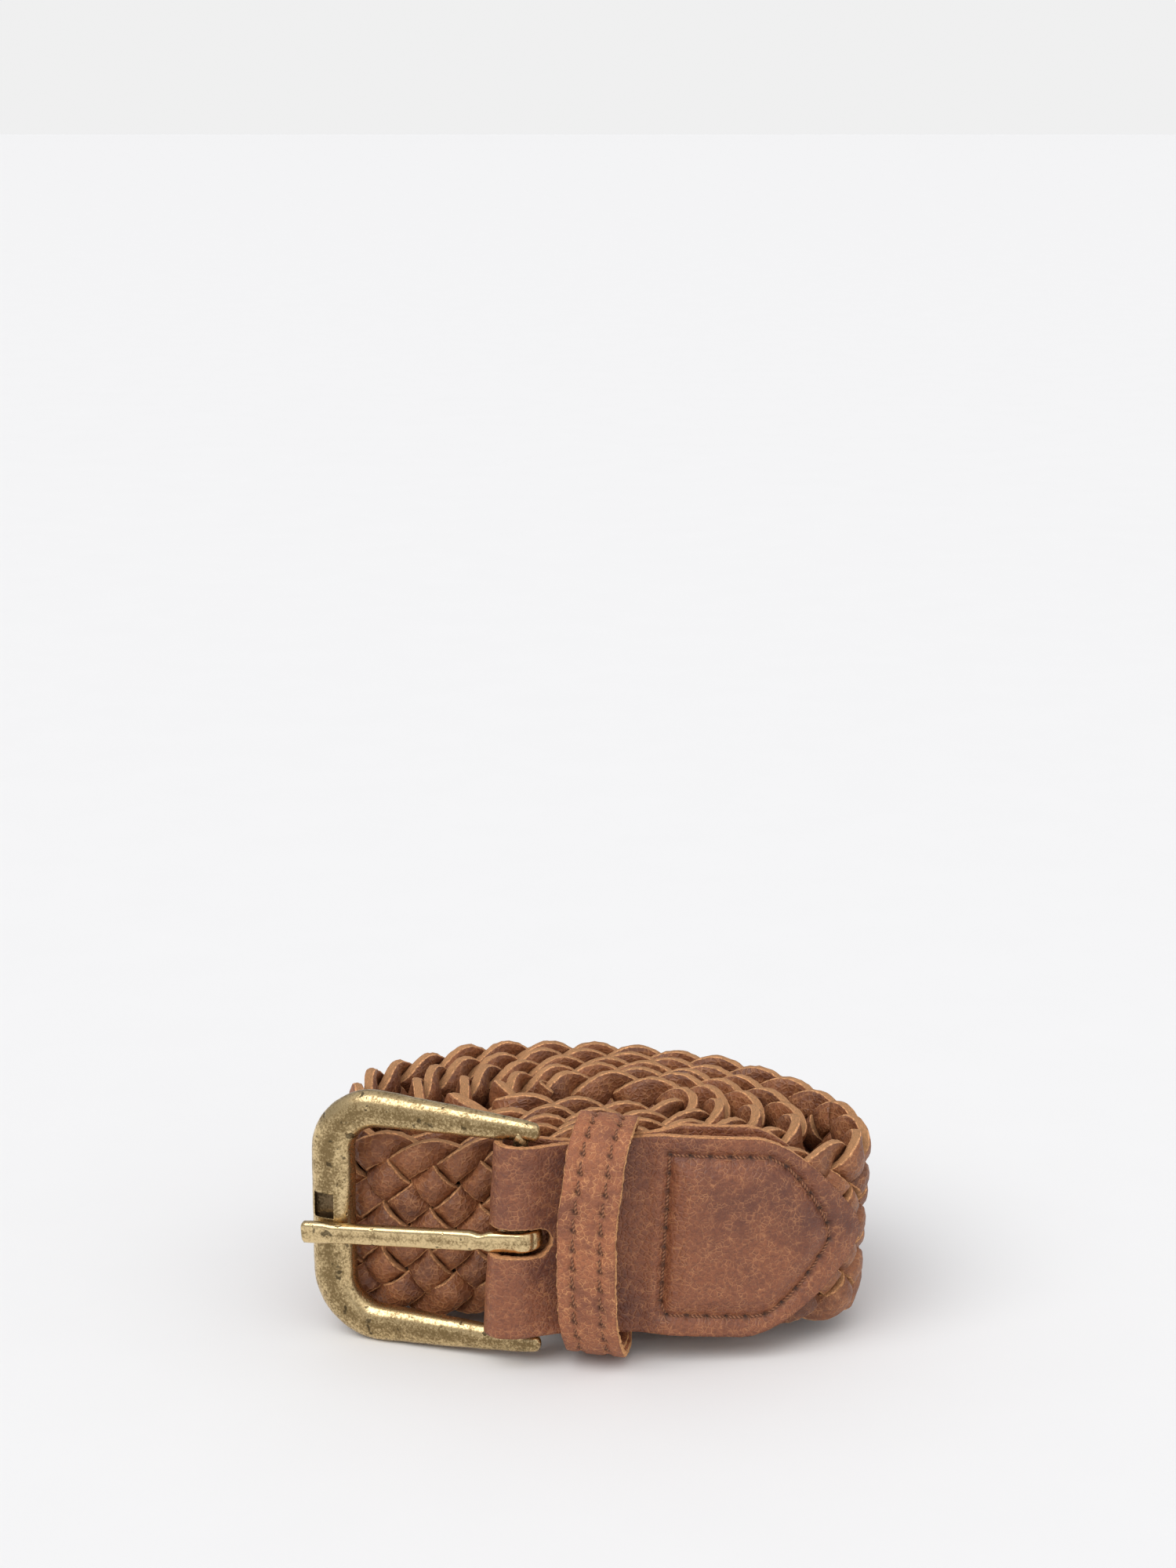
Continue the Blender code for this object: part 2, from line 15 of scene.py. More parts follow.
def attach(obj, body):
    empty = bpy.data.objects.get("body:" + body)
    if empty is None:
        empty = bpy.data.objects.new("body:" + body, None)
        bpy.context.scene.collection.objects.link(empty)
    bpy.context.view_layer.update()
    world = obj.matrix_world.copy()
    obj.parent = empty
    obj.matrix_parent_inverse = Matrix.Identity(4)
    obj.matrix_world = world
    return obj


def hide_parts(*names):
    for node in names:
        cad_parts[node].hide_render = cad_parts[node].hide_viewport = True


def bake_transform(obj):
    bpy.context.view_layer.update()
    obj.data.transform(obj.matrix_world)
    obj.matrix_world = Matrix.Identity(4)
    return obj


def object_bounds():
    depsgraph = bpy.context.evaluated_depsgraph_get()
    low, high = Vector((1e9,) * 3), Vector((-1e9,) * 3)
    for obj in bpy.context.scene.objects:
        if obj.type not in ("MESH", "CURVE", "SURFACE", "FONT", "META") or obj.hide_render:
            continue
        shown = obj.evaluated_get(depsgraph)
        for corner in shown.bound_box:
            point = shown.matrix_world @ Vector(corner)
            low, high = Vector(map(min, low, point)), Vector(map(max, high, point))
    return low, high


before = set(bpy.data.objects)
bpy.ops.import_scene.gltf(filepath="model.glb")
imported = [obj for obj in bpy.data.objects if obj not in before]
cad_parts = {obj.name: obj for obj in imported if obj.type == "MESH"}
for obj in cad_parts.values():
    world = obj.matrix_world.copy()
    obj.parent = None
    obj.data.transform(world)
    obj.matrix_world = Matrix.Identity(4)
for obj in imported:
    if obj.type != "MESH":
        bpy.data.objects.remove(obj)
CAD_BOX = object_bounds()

MM = 0.001

# --- dimensions shared with the CAD source --------------------------------------------------------

LEATHER_WIDTH = 35.0 * MM
FOLD_WIDTH = 33.4 * MM
BRAID_THICKNESS = 4.0 * MM
LEATHER = 1.6 * MM
GAP = 0.3 * MM
MID_Z = LEATHER_WIDTH / 2
BRAID_Z = MID_Z - 1.0 * MM
CHAPE_SAG_Y = -25.0 * MM

COIL_FRONT = 33.2 * MM
COIL_BACK = 26.8 * MM
COIL_SIDE = 47.6 * MM
LEFT_EXTRA = 7.2 * MM
LEFT_FALL = 1.2
WIDEST_Y = -16.0 * MM
FRONT_POWER = 3.0
BACK_POWER = 2.0
TURNS = 5.17
PITCH = 4.8 * MM
BACK_PITCH = 4.5 * MM
SIDE_PITCH = 5.4 * MM
FIRST_TURN_EXTRA = 3.4 * MM
SIDE_SLACK = 10.0 * MM
SLACK_TURNS = 0.8
COIL_SAG = 4.3 * MM
SAG_X = (-8.0 * MM, 20.0 * MM)
SAG_Y = (-6.0 * MM, 12.0 * MM)

BRAID_START_X = 13.4 * MM
CHAPE_SHIFT = 0.6 * MM
CHAPE_LEAN = 0.1
CHAPE_SAG = 1.5 * MM
BAR_X = -13.3 * MM
FOLD_X = -18.8 * MM
SLOT_END_X = -8.2 * MM
SLOT_HALF_HEIGHT = 2.5 * MM
TAB_LENGTH = 42.7 * MM
TAB_POINT = 18.5 * MM  # longer than the CAD's, as the curve below is fuller
TAB_BLUNT = 2.0 * MM
FOLD_PLAN = [
    (8.0 * MM, 1.0 * MM),
    (0.5 * MM, 0.95 * MM),
    (-6.0 * MM, 1.05 * MM),
    (-9.8 * MM, 2.0 * MM),
    (-13.2 * MM, 3.3 * MM),
    (-16.6 * MM, 2.8 * MM),
]

TIP_LENGTH = 24.0 * MM
TIP_HALF_HEIGHT = 12.5 * MM
TIP_LEATHER = 1.1 * MM
TIP_CORE = 1.0 * MM
TIP_POINT = 14.0 * MM

SEAM_START_X = 10.8 * MM
SEAM_INSET = 3.4 * MM
SEAM_TIP_INSET = 4.4 * MM
SEAM_POINT = 12.0 * MM  # longer than the CAD's, like TAB_POINT

KEEPER_WIDTH = 9.9 * MM
KEEPER_LEATHER = 1.1 * MM
KEEPER_LINING = 0.6 * MM
KEEPER_TURN_DEG = -9.0
KEEPER_HALF_HEIGHT = 20.6 * MM
KEEPER_BACK = 6.4 * MM
KEEPER_BULGE = 9.4 * MM
KEEPER_ROW_OFFSET = 2.3 * MM
KEEPER_BOW = 1.6 * MM
KEEPER_LEAN = 0.5 * MM

BUCKLE_TURN_DEG = 20.0
ARM_END_U = -2.2 * MM
CROSS_U = 34.3 * MM
ARM_W = 18.95 * MM
ARM_FLARE = 0.5 * MM
CORNER_RADIUS = 8.6 * MM
FRAME_THICKNESS_SHARE = 2.7 / 3.8
SECTION_END = 1.6 * MM
SECTION_CORNER = 3.2 * MM
SECTION_CROSS = 3.8 * MM
NOTCH = (3.8 * MM, 4.4 * MM, 1.4 * MM)
NOTCH_W = 1.6 * MM
NOTCH_OFFSET = 0.9 * MM
BAR_RADIUS = 1.3 * MM
BAR_HALF_LENGTH = 19.0 * MM

PRONG_LENGTH = 38.6 * MM
PRONG_HALF_WIDTH = 1.75 * MM
PRONG_HALF_THICKNESS = 1.1 * MM
PRONG_EYE = 3.6 * MM
PRONG_HOLE = 1.7 * MM
PRONG_SAG_DEG = 4.5
PRONG_TIP_V = 4.0 * MM

FLOOR_SLOPE_X = 0.055
FLOOR_SLOPE_Y = 0.052
ORIGIN_SHIFT = Vector((1.294, 8.55, 4.075)) * MM

# --- looks only -----------------------------------------------------------------------------------

STRANDS = 8
STEP = 4.1 * MM  # along the strap, from one crossing to the next
LANE = 3.95 * MM  # between the plait's lanes
STRAND_HALF_WIDTH = 2.55 * MM
STRAND_HALF_THICKNESS = 0.9 * MM
STRAND_WAVE = 1.15 * MM
STRAND_CROWN = 0.6 * MM
RINGS_PER_STEP = 8
SPLIT_LENGTH = 65.0 * MM  # where the swinging stretch of plait hands over to the coiled one
STITCH_PITCH = 3.3 * MM
STITCH_RADIUS = 0.3 * MM
POINT_POWER = 1.75  # fullness of the curve to a leather's point
SEAM_PUFF = 1.35 * MM
SEAM_GROOVE = 0.55 * MM
SEAM_BORDER = 0.25 * MM
ROW_SWAY = 0.5 * MM  # how far the keeper wanders
ROW_GROOVE = 0.4 * MM


# --- plan -----------------------------------------------------------------------------------------


def smoothstep(t):
    t = np.clip(t, 0.0, 1.0)
    return t * t * (3 - 2 * t)


def coil_plan(angle):
    """The strap's middle line in plan, at angles wound from the front towards the right."""
    turn = angle / math.tau
    left = 1 - turn / TURNS
    side, ahead = np.sin(angle), np.cos(angle)
    middle = WIDEST_Y * left
    width = COIL_SIDE - SIDE_PITCH * turn - SIDE_SLACK * (1 - np.exp(-turn / SLACK_TURNS))
    width = width + np.where(side < 0, LEFT_EXTRA * (1 - LEFT_FALL * turn / TURNS), 0.0)
    front_depth = COIL_FRONT - PITCH * turn - FIRST_TURN_EXTRA * smoothstep(turn) + middle
    depth = np.where(ahead > 0, front_depth, COIL_BACK - BACK_PITCH * turn - middle)
    power = np.where(ahead > 0, 2 + (FRONT_POWER - 2) * left, BACK_POWER)
    x = width * np.sign(side) * np.abs(side) ** (2 / power)
    y = middle - depth * np.sign(ahead) * np.abs(ahead) ** (2 / power)
    return np.column_stack((x, y))


def even_line(points, spacing):
    """The points of a line again, at even lengths along it."""
    lengths = np.concatenate(([0.0], np.cumsum(np.linalg.norm(np.diff(points, axis=0), axis=1))))
    marks = np.linspace(0.0, lengths[-1], max(int(lengths[-1] / spacing), 2))
    return marks, np.column_stack([np.interp(marks, lengths, points[:, k]) for k in range(points.shape[1])])


COIL_MARKS, COIL_POINTS = even_line(coil_plan(np.linspace(0.0, TURNS * math.tau, 24000)), 0.25 * MM)
COIL_ALONG = np.gradient(COIL_POINTS, axis=0)
COIL_ALONG /= np.linalg.norm(COIL_ALONG, axis=1)[:, None]
COIL_ALONG[0] = (1.0, 0.0)
COIL_TOTAL = COIL_MARKS[-1]


def belt_tilt():
    up = Vector((-FLOOR_SLOPE_X, -FLOOR_SLOPE_Y, 1.0)).normalized()
    return up.rotation_difference(Vector((0.0, 0.0, 1.0)))


TILT = np.array(belt_tilt().to_matrix())


def on_floor(points):
    """Points of the belt's frame, in the row frame."""
    return np.asarray(points) @ TILT.T + np.array(ORIGIN_SHIFT)


def strap_plan(s, outward):
    """Plan places at lengths along the strap's middle line, and outwards from it."""
    s, outward = np.broadcast_arrays(s, outward)
    x, y, dx, dy = (
        np.interp(s, COIL_MARKS, column)
        for column in (COIL_POINTS[:, 0], COIL_POINTS[:, 1], COIL_ALONG[:, 0], COIL_ALONG[:, 1])
    )
    x = np.where(s < 0, s, x)
    size = np.hypot(dx, dy)
    return x + dy / size * outward, y - dx / size * outward


def strap_point(s, outward, up):
    x, y = strap_plan(s, outward)
    return on_floor(np.stack((x, y, np.broadcast_to(up, x.shape)), axis=-1))


def hanging_point(s, outward, up):
    """As strap_point, for the coiled stretch, whose turns hang lower behind the buckle."""
    x, y = strap_plan(s, outward)
    left = smoothstep((SAG_X[0] - x) / SAG_X[1])
    front = smoothstep((SAG_Y[0] - y) / SAG_Y[1])
    return on_floor(np.stack((x, y, up - COIL_SAG * left * front), axis=-1))


def chape_middle(x):
    return -COIL_FRONT - CHAPE_SHIFT - CHAPE_LEAN * (BRAID_START_X - x)


def chape_z(x):
    return MID_Z - CHAPE_SAG * smoothstep((BRAID_START_X - x) / (BRAID_START_X - BAR_X))


def pointed_half_height(distance, length, blunt, full):
    """Half height at distances from a rounded point."""
    share = np.clip(1 - distance / length, 0.0, 1.0)
    return np.where(distance >= length, full, blunt + (full - blunt) * (1 - share**POINT_POWER))


# --- meshes ---------------------------------------------------------------------------------------


def rumple(points, size, depth, seed):
    """A number for each point, from smooth noise of that size."""
    flat = np.asarray(points).reshape(-1, 3)
    shift = Vector((seed * 3.1, seed * 1.7, seed * 2.3))
    values = [noise.noise(Vector(p) / size + shift) for p in flat]
    return depth * np.array(values).reshape(np.asarray(points).shape[:-1])


def finish_mesh(name, points, faces, surface, slot, body=None, **values):
    """A smooth mesh object with a number or a vector for each point in named attributes."""
    mesh = bpy.data.meshes.new(name)
    mesh.from_pydata(np.asarray(points).reshape(-1, 3).tolist(), [], faces)
    for key, numbers in values.items():
        numbers = np.asarray(numbers, dtype=np.float32)
        vector = numbers.ndim == 2
        made = mesh.attributes.new(key, "FLOAT_VECTOR" if vector else "FLOAT", "POINT")
        made.data.foreach_set("vector" if vector else "value", numbers.ravel())
    mesh.materials.append(surface)
    mesh.shade_smooth()
    mesh.validate()
    obj = bpy.data.objects.new(name, mesh)
    bpy.context.scene.collection.objects.link(obj)
    if body:
        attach(obj, body)
    return obj


def tube_faces(rings, sides, start=0, closed=False, caps=True):
    """Faces of a tube whose points come ring by ring."""
    faces = []
    for i in range(rings if closed else rings - 1):
        near, far = start + i * sides, start + (i + 1) % rings * sides
        for k in range(sides):
            after = (k + 1) % sides
            faces.append((near + k, near + after, far + after, far + k))
    if caps and not closed:
        faces.append(tuple(start + k for k in reversed(range(sides))))
        faces.append(tuple(start + (rings - 1) * sides + k for k in range(sides)))
    return faces


def rounded_ring(sides, power):
    """Points round a rounded rectangle of half sides 1."""
    angles = math.tau * np.arange(sides) / sides
    across, up = np.cos(angles), np.sin(angles)
    return np.column_stack(
        (np.sign(across) * np.abs(across) ** (2 / power), np.sign(up) * np.abs(up) ** (2 / power))
    )


# --- materials ------------------------------------------------------------------------------------


class Surface:
    """A Principled material, built node by node."""

    def __init__(self, name, metallic=0.0, **shader):
        self.material = bpy.data.materials.new(name)
        self.material.use_nodes = True
        self.tree = self.material.node_tree
        self.shader = self.tree.nodes["Principled BSDF"]
        self.shader.inputs["Metallic"].default_value = metallic
        for key, value in shader.items():
            self.shader.inputs[key.replace("_", " ")].default_value = value

    def node(self, kind, settings=None, **inputs):
        made = self.tree.nodes.new("ShaderNode" + kind)
        for key, value in (settings or {}).items():
            setattr(made, key, value)
        for key, value in inputs.items():
            socket = made.inputs[key.replace("_", " ")]
            if isinstance(value, bpy.types.NodeSocket):
                self.tree.links.new(value, socket)
            else:
                socket.default_value = value
        return made

    def attribute(self, name, output="Fac"):
        return self.node("Attribute", {"attribute_name": name}).outputs[output]

    def noise(self, where, scale, detail=3.0, roughness=0.55):
        made = self.node("TexNoise", Vector=where, Scale=scale, Detail=detail, Roughness=roughness)
        return made.outputs["Fac"]

    def cells(self, where, scale, feature="DISTANCE_TO_EDGE"):
        made = self.node("TexVoronoi", {"feature": feature}, Vector=where, Scale=scale)
        return made.outputs["Distance"]

    def bent(self, where, scale, distance):
        """The place shifted by smooth noise, so that cells and lines wander."""
        made = self.node("TexNoise", Vector=where, Scale=scale, Detail=2.0)
        moved = self.node("VectorMath", {"operation": "MULTIPLY_ADD"})
        self.tree.links.new(made.outputs["Color"], moved.inputs[0])
        moved.inputs[1].default_value = (distance, distance, distance)
        self.tree.links.new(where, moved.inputs[2])
        return moved.outputs[0]

    def span(self, value, low, high, start=0.0, end=1.0):
        """The value's stretch from low to high, mapped smoothly from start to end."""
        made = self.node("MapRange", {"interpolation_type": "SMOOTHSTEP"}, Value=value)
        for key, number in (("From Min", low), ("From Max", high), ("To Min", start), ("To Max", end)):
            made.inputs[key].default_value = number
        return made.outputs["Result"]

    def math(self, kind, first, second):
        made = self.node("Math", {"operation": kind})
        for socket, value in zip(made.inputs, (first, second)):
            if isinstance(value, bpy.types.NodeSocket):
                self.tree.links.new(value, socket)
            else:
                socket.default_value = value
        return made.outputs[0]

    def blend(self, share, first, second, kind="MIX"):
        made = self.node("Mix", {"data_type": "RGBA", "blend_type": kind})
        sockets = (made.inputs[0], made.inputs[6], made.inputs[7])
        for socket, value in zip(sockets, (share, first, second)):
            if isinstance(value, bpy.types.NodeSocket):
                self.tree.links.new(value, socket)
            else:
                socket.default_value = value if isinstance(value, float) else (*value, 1.0)
        return made.outputs[2]

    def finish(self, colour, roughness, height, distance, strength=1.0):
        bump = self.node("Bump", Height=height, Distance=distance, Strength=strength)
        for socket, value in (("Base Color", colour), ("Roughness", roughness), ("Normal", bump.outputs[0])):
            self.tree.links.new(value, self.shader.inputs[socket])
        return self.material


def leather(name, dark, middle, light, cut, shine=0.45, patch=80.0, crack=0.45):
    """Oiled leather: mottled grain face with pale cracks and pores, fibrous pale cut edges, and painted
    shade, near black, in the needle holes.
    """
    made = Surface(name, Specular_IOR_Level=0.4)
    where = made.attribute("grain_at", "Vector")
    edge, hollow = made.attribute("cut"), made.attribute("hollow")
    patches = made.span(made.noise(where, patch, 5.0, 0.62), 0.34, 0.62)
    fine = made.noise(where, 1300.0, 4.0, 0.75)
    cells = made.cells(made.bent(where, 700.0, 0.5 * MM), 1150.0)
    threads = made.span(cells, 0.0, 0.1, 1.0, 0.0)
    worn = made.span(made.noise(where, 480.0, 5.0, 0.7), 0.38, 0.66)
    scratch = made.math("MULTIPLY", threads, made.math("MULTIPLY", worn, crack))
    colour = made.blend(patches, dark, middle)
    colour = made.blend(made.math("MULTIPLY", worn, 0.35), colour, light)
    colour = made.blend(made.span(fine, 0.35, 0.6, 0.55, 0.0), colour, dark)
    colour = made.blend(scratch, colour, cut)
    fibre = made.noise(where, 1900.0, 4.0, 0.75)
    frayed = made.math("MULTIPLY", made.math("SUBTRACT", fibre, 0.5), 0.9)
    ragged = made.span(made.math("ADD", edge, frayed), 0.35, 0.7)
    shadow, tuft = tuple(c * 0.5 for c in cut), tuple(min(c * 1.35, 1) for c in cut)
    fuzz = made.blend(made.span(fibre, 0.3, 0.72), shadow, tuft)
    colour = made.blend(ragged, colour, fuzz)
    # Painted shade: the needle holes are coloured near black.
    colour = made.blend(hollow, colour, (0.012, 0.006, 0.004))
    polish = made.span(fine, 0.3, 0.7, shine - 0.06, shine + 0.16)
    rough = made.math("ADD", polish, made.math("MULTIPLY", ragged, 0.4))
    grain = made.math("MULTIPLY", made.span(cells, 0.0, 0.25), 0.6)
    pores = made.math("MULTIPLY", fine, 0.55)
    face = made.math("ADD", grain, pores)
    coarse = made.math("MULTIPLY", fibre, 2.6)
    mixed = made.node("Mix", {"data_type": "FLOAT"})
    for socket, value in zip((mixed.inputs[0], mixed.inputs[2], mixed.inputs[3]), (ragged, face, coarse)):
        made.tree.links.new(value, socket)
    return made.finish(colour, rough, mixed.outputs[0], 0.14 * MM, 0.9)


def brass(name, hollow=(0.24, 0.165, 0.075), worn=(0.76, 0.575, 0.31)):
    """Antiqued brass: patina in the hollows, rubbed bright on the high spots, and small casting pits."""
    made = Surface(name, metallic=1.0)
    where = made.node("TexCoord").outputs["Object"]
    patches = made.noise(where, 420.0, 5.0, 0.75)
    speckle = made.noise(where, 2400.0, 3.0, 0.7)
    rubbed = made.attribute("rubbed")
    mixed = made.math("ADD", made.math("MULTIPLY", patches, 0.4), made.math("MULTIPLY", speckle, 0.6))
    mixed = made.math("ADD", mixed, made.math("MULTIPLY", rubbed, 0.2))
    patina = made.span(mixed, 0.38, 0.66)
    pits = made.span(made.noise(where, 520.0, 2.0, 0.5), 0.3, 0.36, 1.0, 0.0)
    colour = made.blend(patina, hollow, worn)
    colour = made.blend(made.math("MULTIPLY", pits, 0.75), colour, (0.05, 0.036, 0.02))
    rough = made.span(patina, 0.0, 1.0, 0.5, 0.22)
    height = made.math("SUBTRACT", made.math("MULTIPLY", speckle, 0.4), made.math("MULTIPLY", pits, 0.8))
    return made.finish(colour, rough, height, 0.1 * MM, 0.6)


def thread(name):
    made = Surface(name)
    where = made.attribute("grain_at", "Vector")
    strands = made.node(
        "TexWave", {"bands_direction": "DIAGONAL"}, Vector=where, Scale=900.0, Distortion=1.5
    ).outputs["Fac"]
    colour = made.blend(strands, (0.1, 0.036, 0.018), (0.34, 0.14, 0.065))
    rough = made.span(strands, 0.0, 1.0, 0.85, 0.65)
    return made.finish(colour, rough, strands, 0.08 * MM, 0.8)


BRAID_LEATHER = leather(
    "braid leather", (0.125, 0.043, 0.021), (0.31, 0.112, 0.044), (0.43, 0.175, 0.07), (0.74, 0.37, 0.165),
    shine=0.4, patch=60.0, crack=0.38,
)
TAB_LEATHER = leather(
    "tab leather", (0.125, 0.042, 0.026), (0.27, 0.092, 0.041), (0.35, 0.13, 0.058), (0.7, 0.33, 0.14),
    shine=0.38, patch=45.0, crack=0.4,
)
KEEPER_LEATHER_LOOK = leather(
    "keeper leather", (0.2, 0.07, 0.038), (0.38, 0.135, 0.06), (0.5, 0.19, 0.08), (0.78, 0.38, 0.16),
    shine=0.6, patch=110.0, crack=0.6,
)
BRASS = brass("antique brass")
TARNISH = brass("tarnished brass", (0.06, 0.04, 0.02), (0.16, 0.11, 0.06))
THREAD = thread("waxed thread")


# --- the plait ------------------------------------------------------------------------------------


def lane_of(t):
    """A strand's lane in a cycle of 16 steps: across in seven, one at the edge, and back."""
    t = np.mod(t, 2 * STRANDS)
    top = STRANDS - 1
    rising = np.minimum(t, top)
    falling = np.clip(t - STRANDS, 0, top)
    return rising - falling - top / 2


def smooth_lane(t):
    window = np.linspace(-0.85, 0.85, 9)
    return np.mean([lane_of(t + w) for w in window], axis=0)


def wave_of(t):
    """Over and under, from -1 to 1. At each edge the strand passes from one face to the other."""
    t = np.mod(t, 2 * STRANDS)
    sine = np.where(t < STRANDS - 0.5, np.sin(math.pi * t), -np.sin(math.pi * t))
    level = sine / np.sqrt(sine**2 + 0.7) * math.sqrt(1.7)
    far = (t > 6.5) & (t < 8.5)
    level = np.where(far, np.cos(math.pi * (t - 6.5) / 2), level)
    back = (t > 14.5) | (t < 0.5)
    late = np.where(t < 0.5, t + 16, t)
    return np.where(back, -np.cos(math.pi * (late - 14.5) / 2), level)


STRAND_RING = [
    (-0.9, 1.0, 0.32), (-0.45, 1.0, 0.0), (0.0, 1.0, 0.0), (0.45, 1.0, 0.0), (0.9, 1.0, 0.32),
    (1.0, 0.72, 1.0), (1.03, 0.0, 1.0), (1.0, -0.72, 1.0),
    (0.9, -1.0, 0.15), (0.45, -1.0, 0.0), (0.0, -1.0, 0.0), (-0.45, -1.0, 0.0), (-0.9, -1.0, 0.15),
    (-1.0, -0.72, 1.0), (-1.03, 0.0, 1.0), (-1.0, 0.72, 1.0),
]


def strand(index, start, end, thinned):
    """Points, grain places and cut shares of one strand between two lengths of the strap."""
    rng = np.random.default_rng(40 + index)
    marks = np.arange(0, int(COIL_TOTAL / STEP * RINGS_PER_STEP) + 1) / RINGS_PER_STEP
    marks = marks[(marks * STEP >= start) & (marks * STEP <= end)]
    t = marks + 2 * index
    phases = rng.uniform(0, math.tau, 6)
    sway = (np.sin(marks * 0.83 + phases[0]) + np.sin(marks * 1.71 + phases[1])) * 0.13 * MM
    width = 1 + 0.05 * np.sin(marks * 0.61 + phases[2]) + 0.03 * np.sin(marks * 1.37 + phases[3])
    lean = 0.07 + 0.08 * np.sin(marks * 0.97 + phases[4]) + 0.07 * np.sin(marks * 2.1 + phases[5])
    s, lane = marks * STEP, smooth_lane(t) * LANE + sway
    level = wave_of(t)
    ds, dl = np.full_like(s, STEP / RINGS_PER_STEP), np.gradient(lane)
    size = np.hypot(ds, dl)
    away_s, away_l = -dl / size, ds / size
    ring = np.array(STRAND_RING)
    half = STRAND_HALF_WIDTH * width
    x = ring[None, :, 0] * half[:, None]
    crown = STRAND_CROWN * level[:, None] * (1 - ring[None, :, 0] ** 2)
    y = ring[None, :, 1] * STRAND_HALF_THICKNESS + level[:, None] * STRAND_WAVE + crown + x * lean[:, None]
    rough = rng.uniform(-1, 1, x.shape) * 0.11 * MM * ring[None, :, 2]
    x = x + rough * np.sign(ring[None, :, 0])
    y = y + rng.uniform(-1, 1, x.shape) * 0.05 * MM
    if thinned:
        y = y * (1 - 0.72 * smoothstep((s - (COIL_TOTAL - TIP_LENGTH - 5 * MM)) / (5 * MM)))[:, None]
    at = s[:, None] + away_s[:, None] * x
    up = BRAID_Z + lane[:, None] + away_l[:, None] * x
    up = np.clip(up, BRAID_Z - 16.9 * MM, BRAID_Z + 16.9 * MM)
    points = hanging_point(at, y, up)
    run = np.cumsum(size)
    grain = np.stack(
        (
            np.broadcast_to(run[:, None], x.shape),
            x,
            y * 0.5 + index * 0.037 + 0.01 * np.sign(ring[None, :, 1]),
        ),
        axis=-1,
    )
    return points, grain, np.broadcast_to(ring[None, :, 2], x.shape)


def plait(name, start, end, thinned=False):
    """All strands of the plait between two lengths, as one mesh."""
    points, grains, cuts, faces = [], [], [], []
    count = 0
    for index in range(STRANDS):
        where, grain, cut = strand(index, start, end, thinned)
        faces += tube_faces(len(where), len(STRAND_RING), count)
        count += where.shape[0] * where.shape[1]
        points.append(where.reshape(-1, 3))
        grains.append(grain.reshape(-1, 3))
        cuts.append(cut.ravel())
    cut = np.concatenate(cuts)
    return finish_mesh(
        name, np.concatenate(points), faces, BRAID_LEATHER, "braid",
        grain_at=np.concatenate(grains), cut=cut, hollow=np.zeros_like(cut),
    )


def make_plait():
    end = plait("plait_buckle_end", BRAID_START_X - 1 * MM, SPLIT_LENGTH)
    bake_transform(end)
    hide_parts("braid_buckle_end")
    handover = SPLIT_LENGTH - STEP / RINGS_PER_STEP * 0.999
    coil = plait("plait_coil", handover, COIL_TOTAL - TIP_LENGTH + 4 * MM, True)
    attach(coil, "coil")
    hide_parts("braid_coil")


# --- seam on the tab ------------------------------------------------------------------------------


def seam_outline():
    """The D-shaped seam, as points (length along the strap, height from the middle)."""
    top = LEATHER_WIDTH / 2 - SEAM_INSET
    end = TAB_LENGTH - SEAM_TIP_INSET
    right = np.linspace(SEAM_START_X, end, 60)
    heights = np.minimum(top, pointed_half_height(end - right, SEAM_POINT, 0.0, top))
    upper = np.column_stack((right, heights))
    lower = np.column_stack((right, -heights))[::-1]
    loop = np.concatenate((upper, lower[1:], upper[:1]))
    return even_line(loop, 0.4 * MM)[1]


SEAM = seam_outline()


def seam_depth(s, h):
    """Distance from the seam, more than 0 inside it."""
    spots = np.column_stack((np.ravel(s), np.ravel(h)))
    nearest = np.full(len(spots), 1.0)
    inside = np.zeros(len(spots), dtype=bool)
    for a, b in zip(SEAM, SEAM[1:]):
        along = b - a
        share = np.clip((spots - a) @ along / max(along @ along, 1e-18), 0, 1)
        nearest = np.minimum(nearest, np.linalg.norm(spots - a - share[:, None] * along, axis=1))
        crosses = (a[1] > spots[:, 1]) != (b[1] > spots[:, 1])
        at = a[0] + (spots[:, 1] - a[1]) / (b[1] - a[1] if b[1] != a[1] else 1e-12) * along[0]
        inside ^= crosses & (spots[:, 0] < at)
    return np.where(inside, nearest, -nearest).reshape(np.shape(s))


def seam_relief(depth):
    """How far the tab's face stands out: padded inside the seam, drawn in along it."""
    return (
        SEAM_PUFF * smoothstep(depth / (4.0 * MM)) * (depth > 0)
        - SEAM_GROOVE * np.exp(-((depth / (0.75 * MM)) ** 2))
        + SEAM_BORDER * smoothstep(-depth / (1.5 * MM)) * (depth < 0)
    )


def needle_holes():
    """Where the needle went through the tab, as (length along the strap, height)."""
    lengths = np.concatenate(([0.0], np.cumsum(np.linalg.norm(np.diff(SEAM, axis=0), axis=1))))
    count = int(round(lengths[-1] / STITCH_PITCH))
    marks = np.linspace(0, lengths[-1], count, endpoint=False)
    return np.column_stack([np.interp(marks, lengths, SEAM[:, k]) for k in (0, 1)])


def capsule_points(start, end, rise, outward, radius, sides=8, rings=9):
    """Rings of a stitch that rises out of the leather and dips back into it."""
    along = end - start
    side = np.cross(along, outward)
    side /= np.linalg.norm(side)
    points = []
    for k in range(rings):
        t = k / (rings - 1)
        lift = math.sin(math.pi * t)
        centre = start + along * t + outward * (rise * (lift**0.6) - 0.45 * radius)
        thick = radius * (0.35 + 0.65 * min(1.0, 2.2 * lift) ** 0.5)
        for j in range(sides):
            a = math.tau * j / sides
            points.append(centre + thick * (side * math.cos(a) + outward * math.sin(a)))
    return points


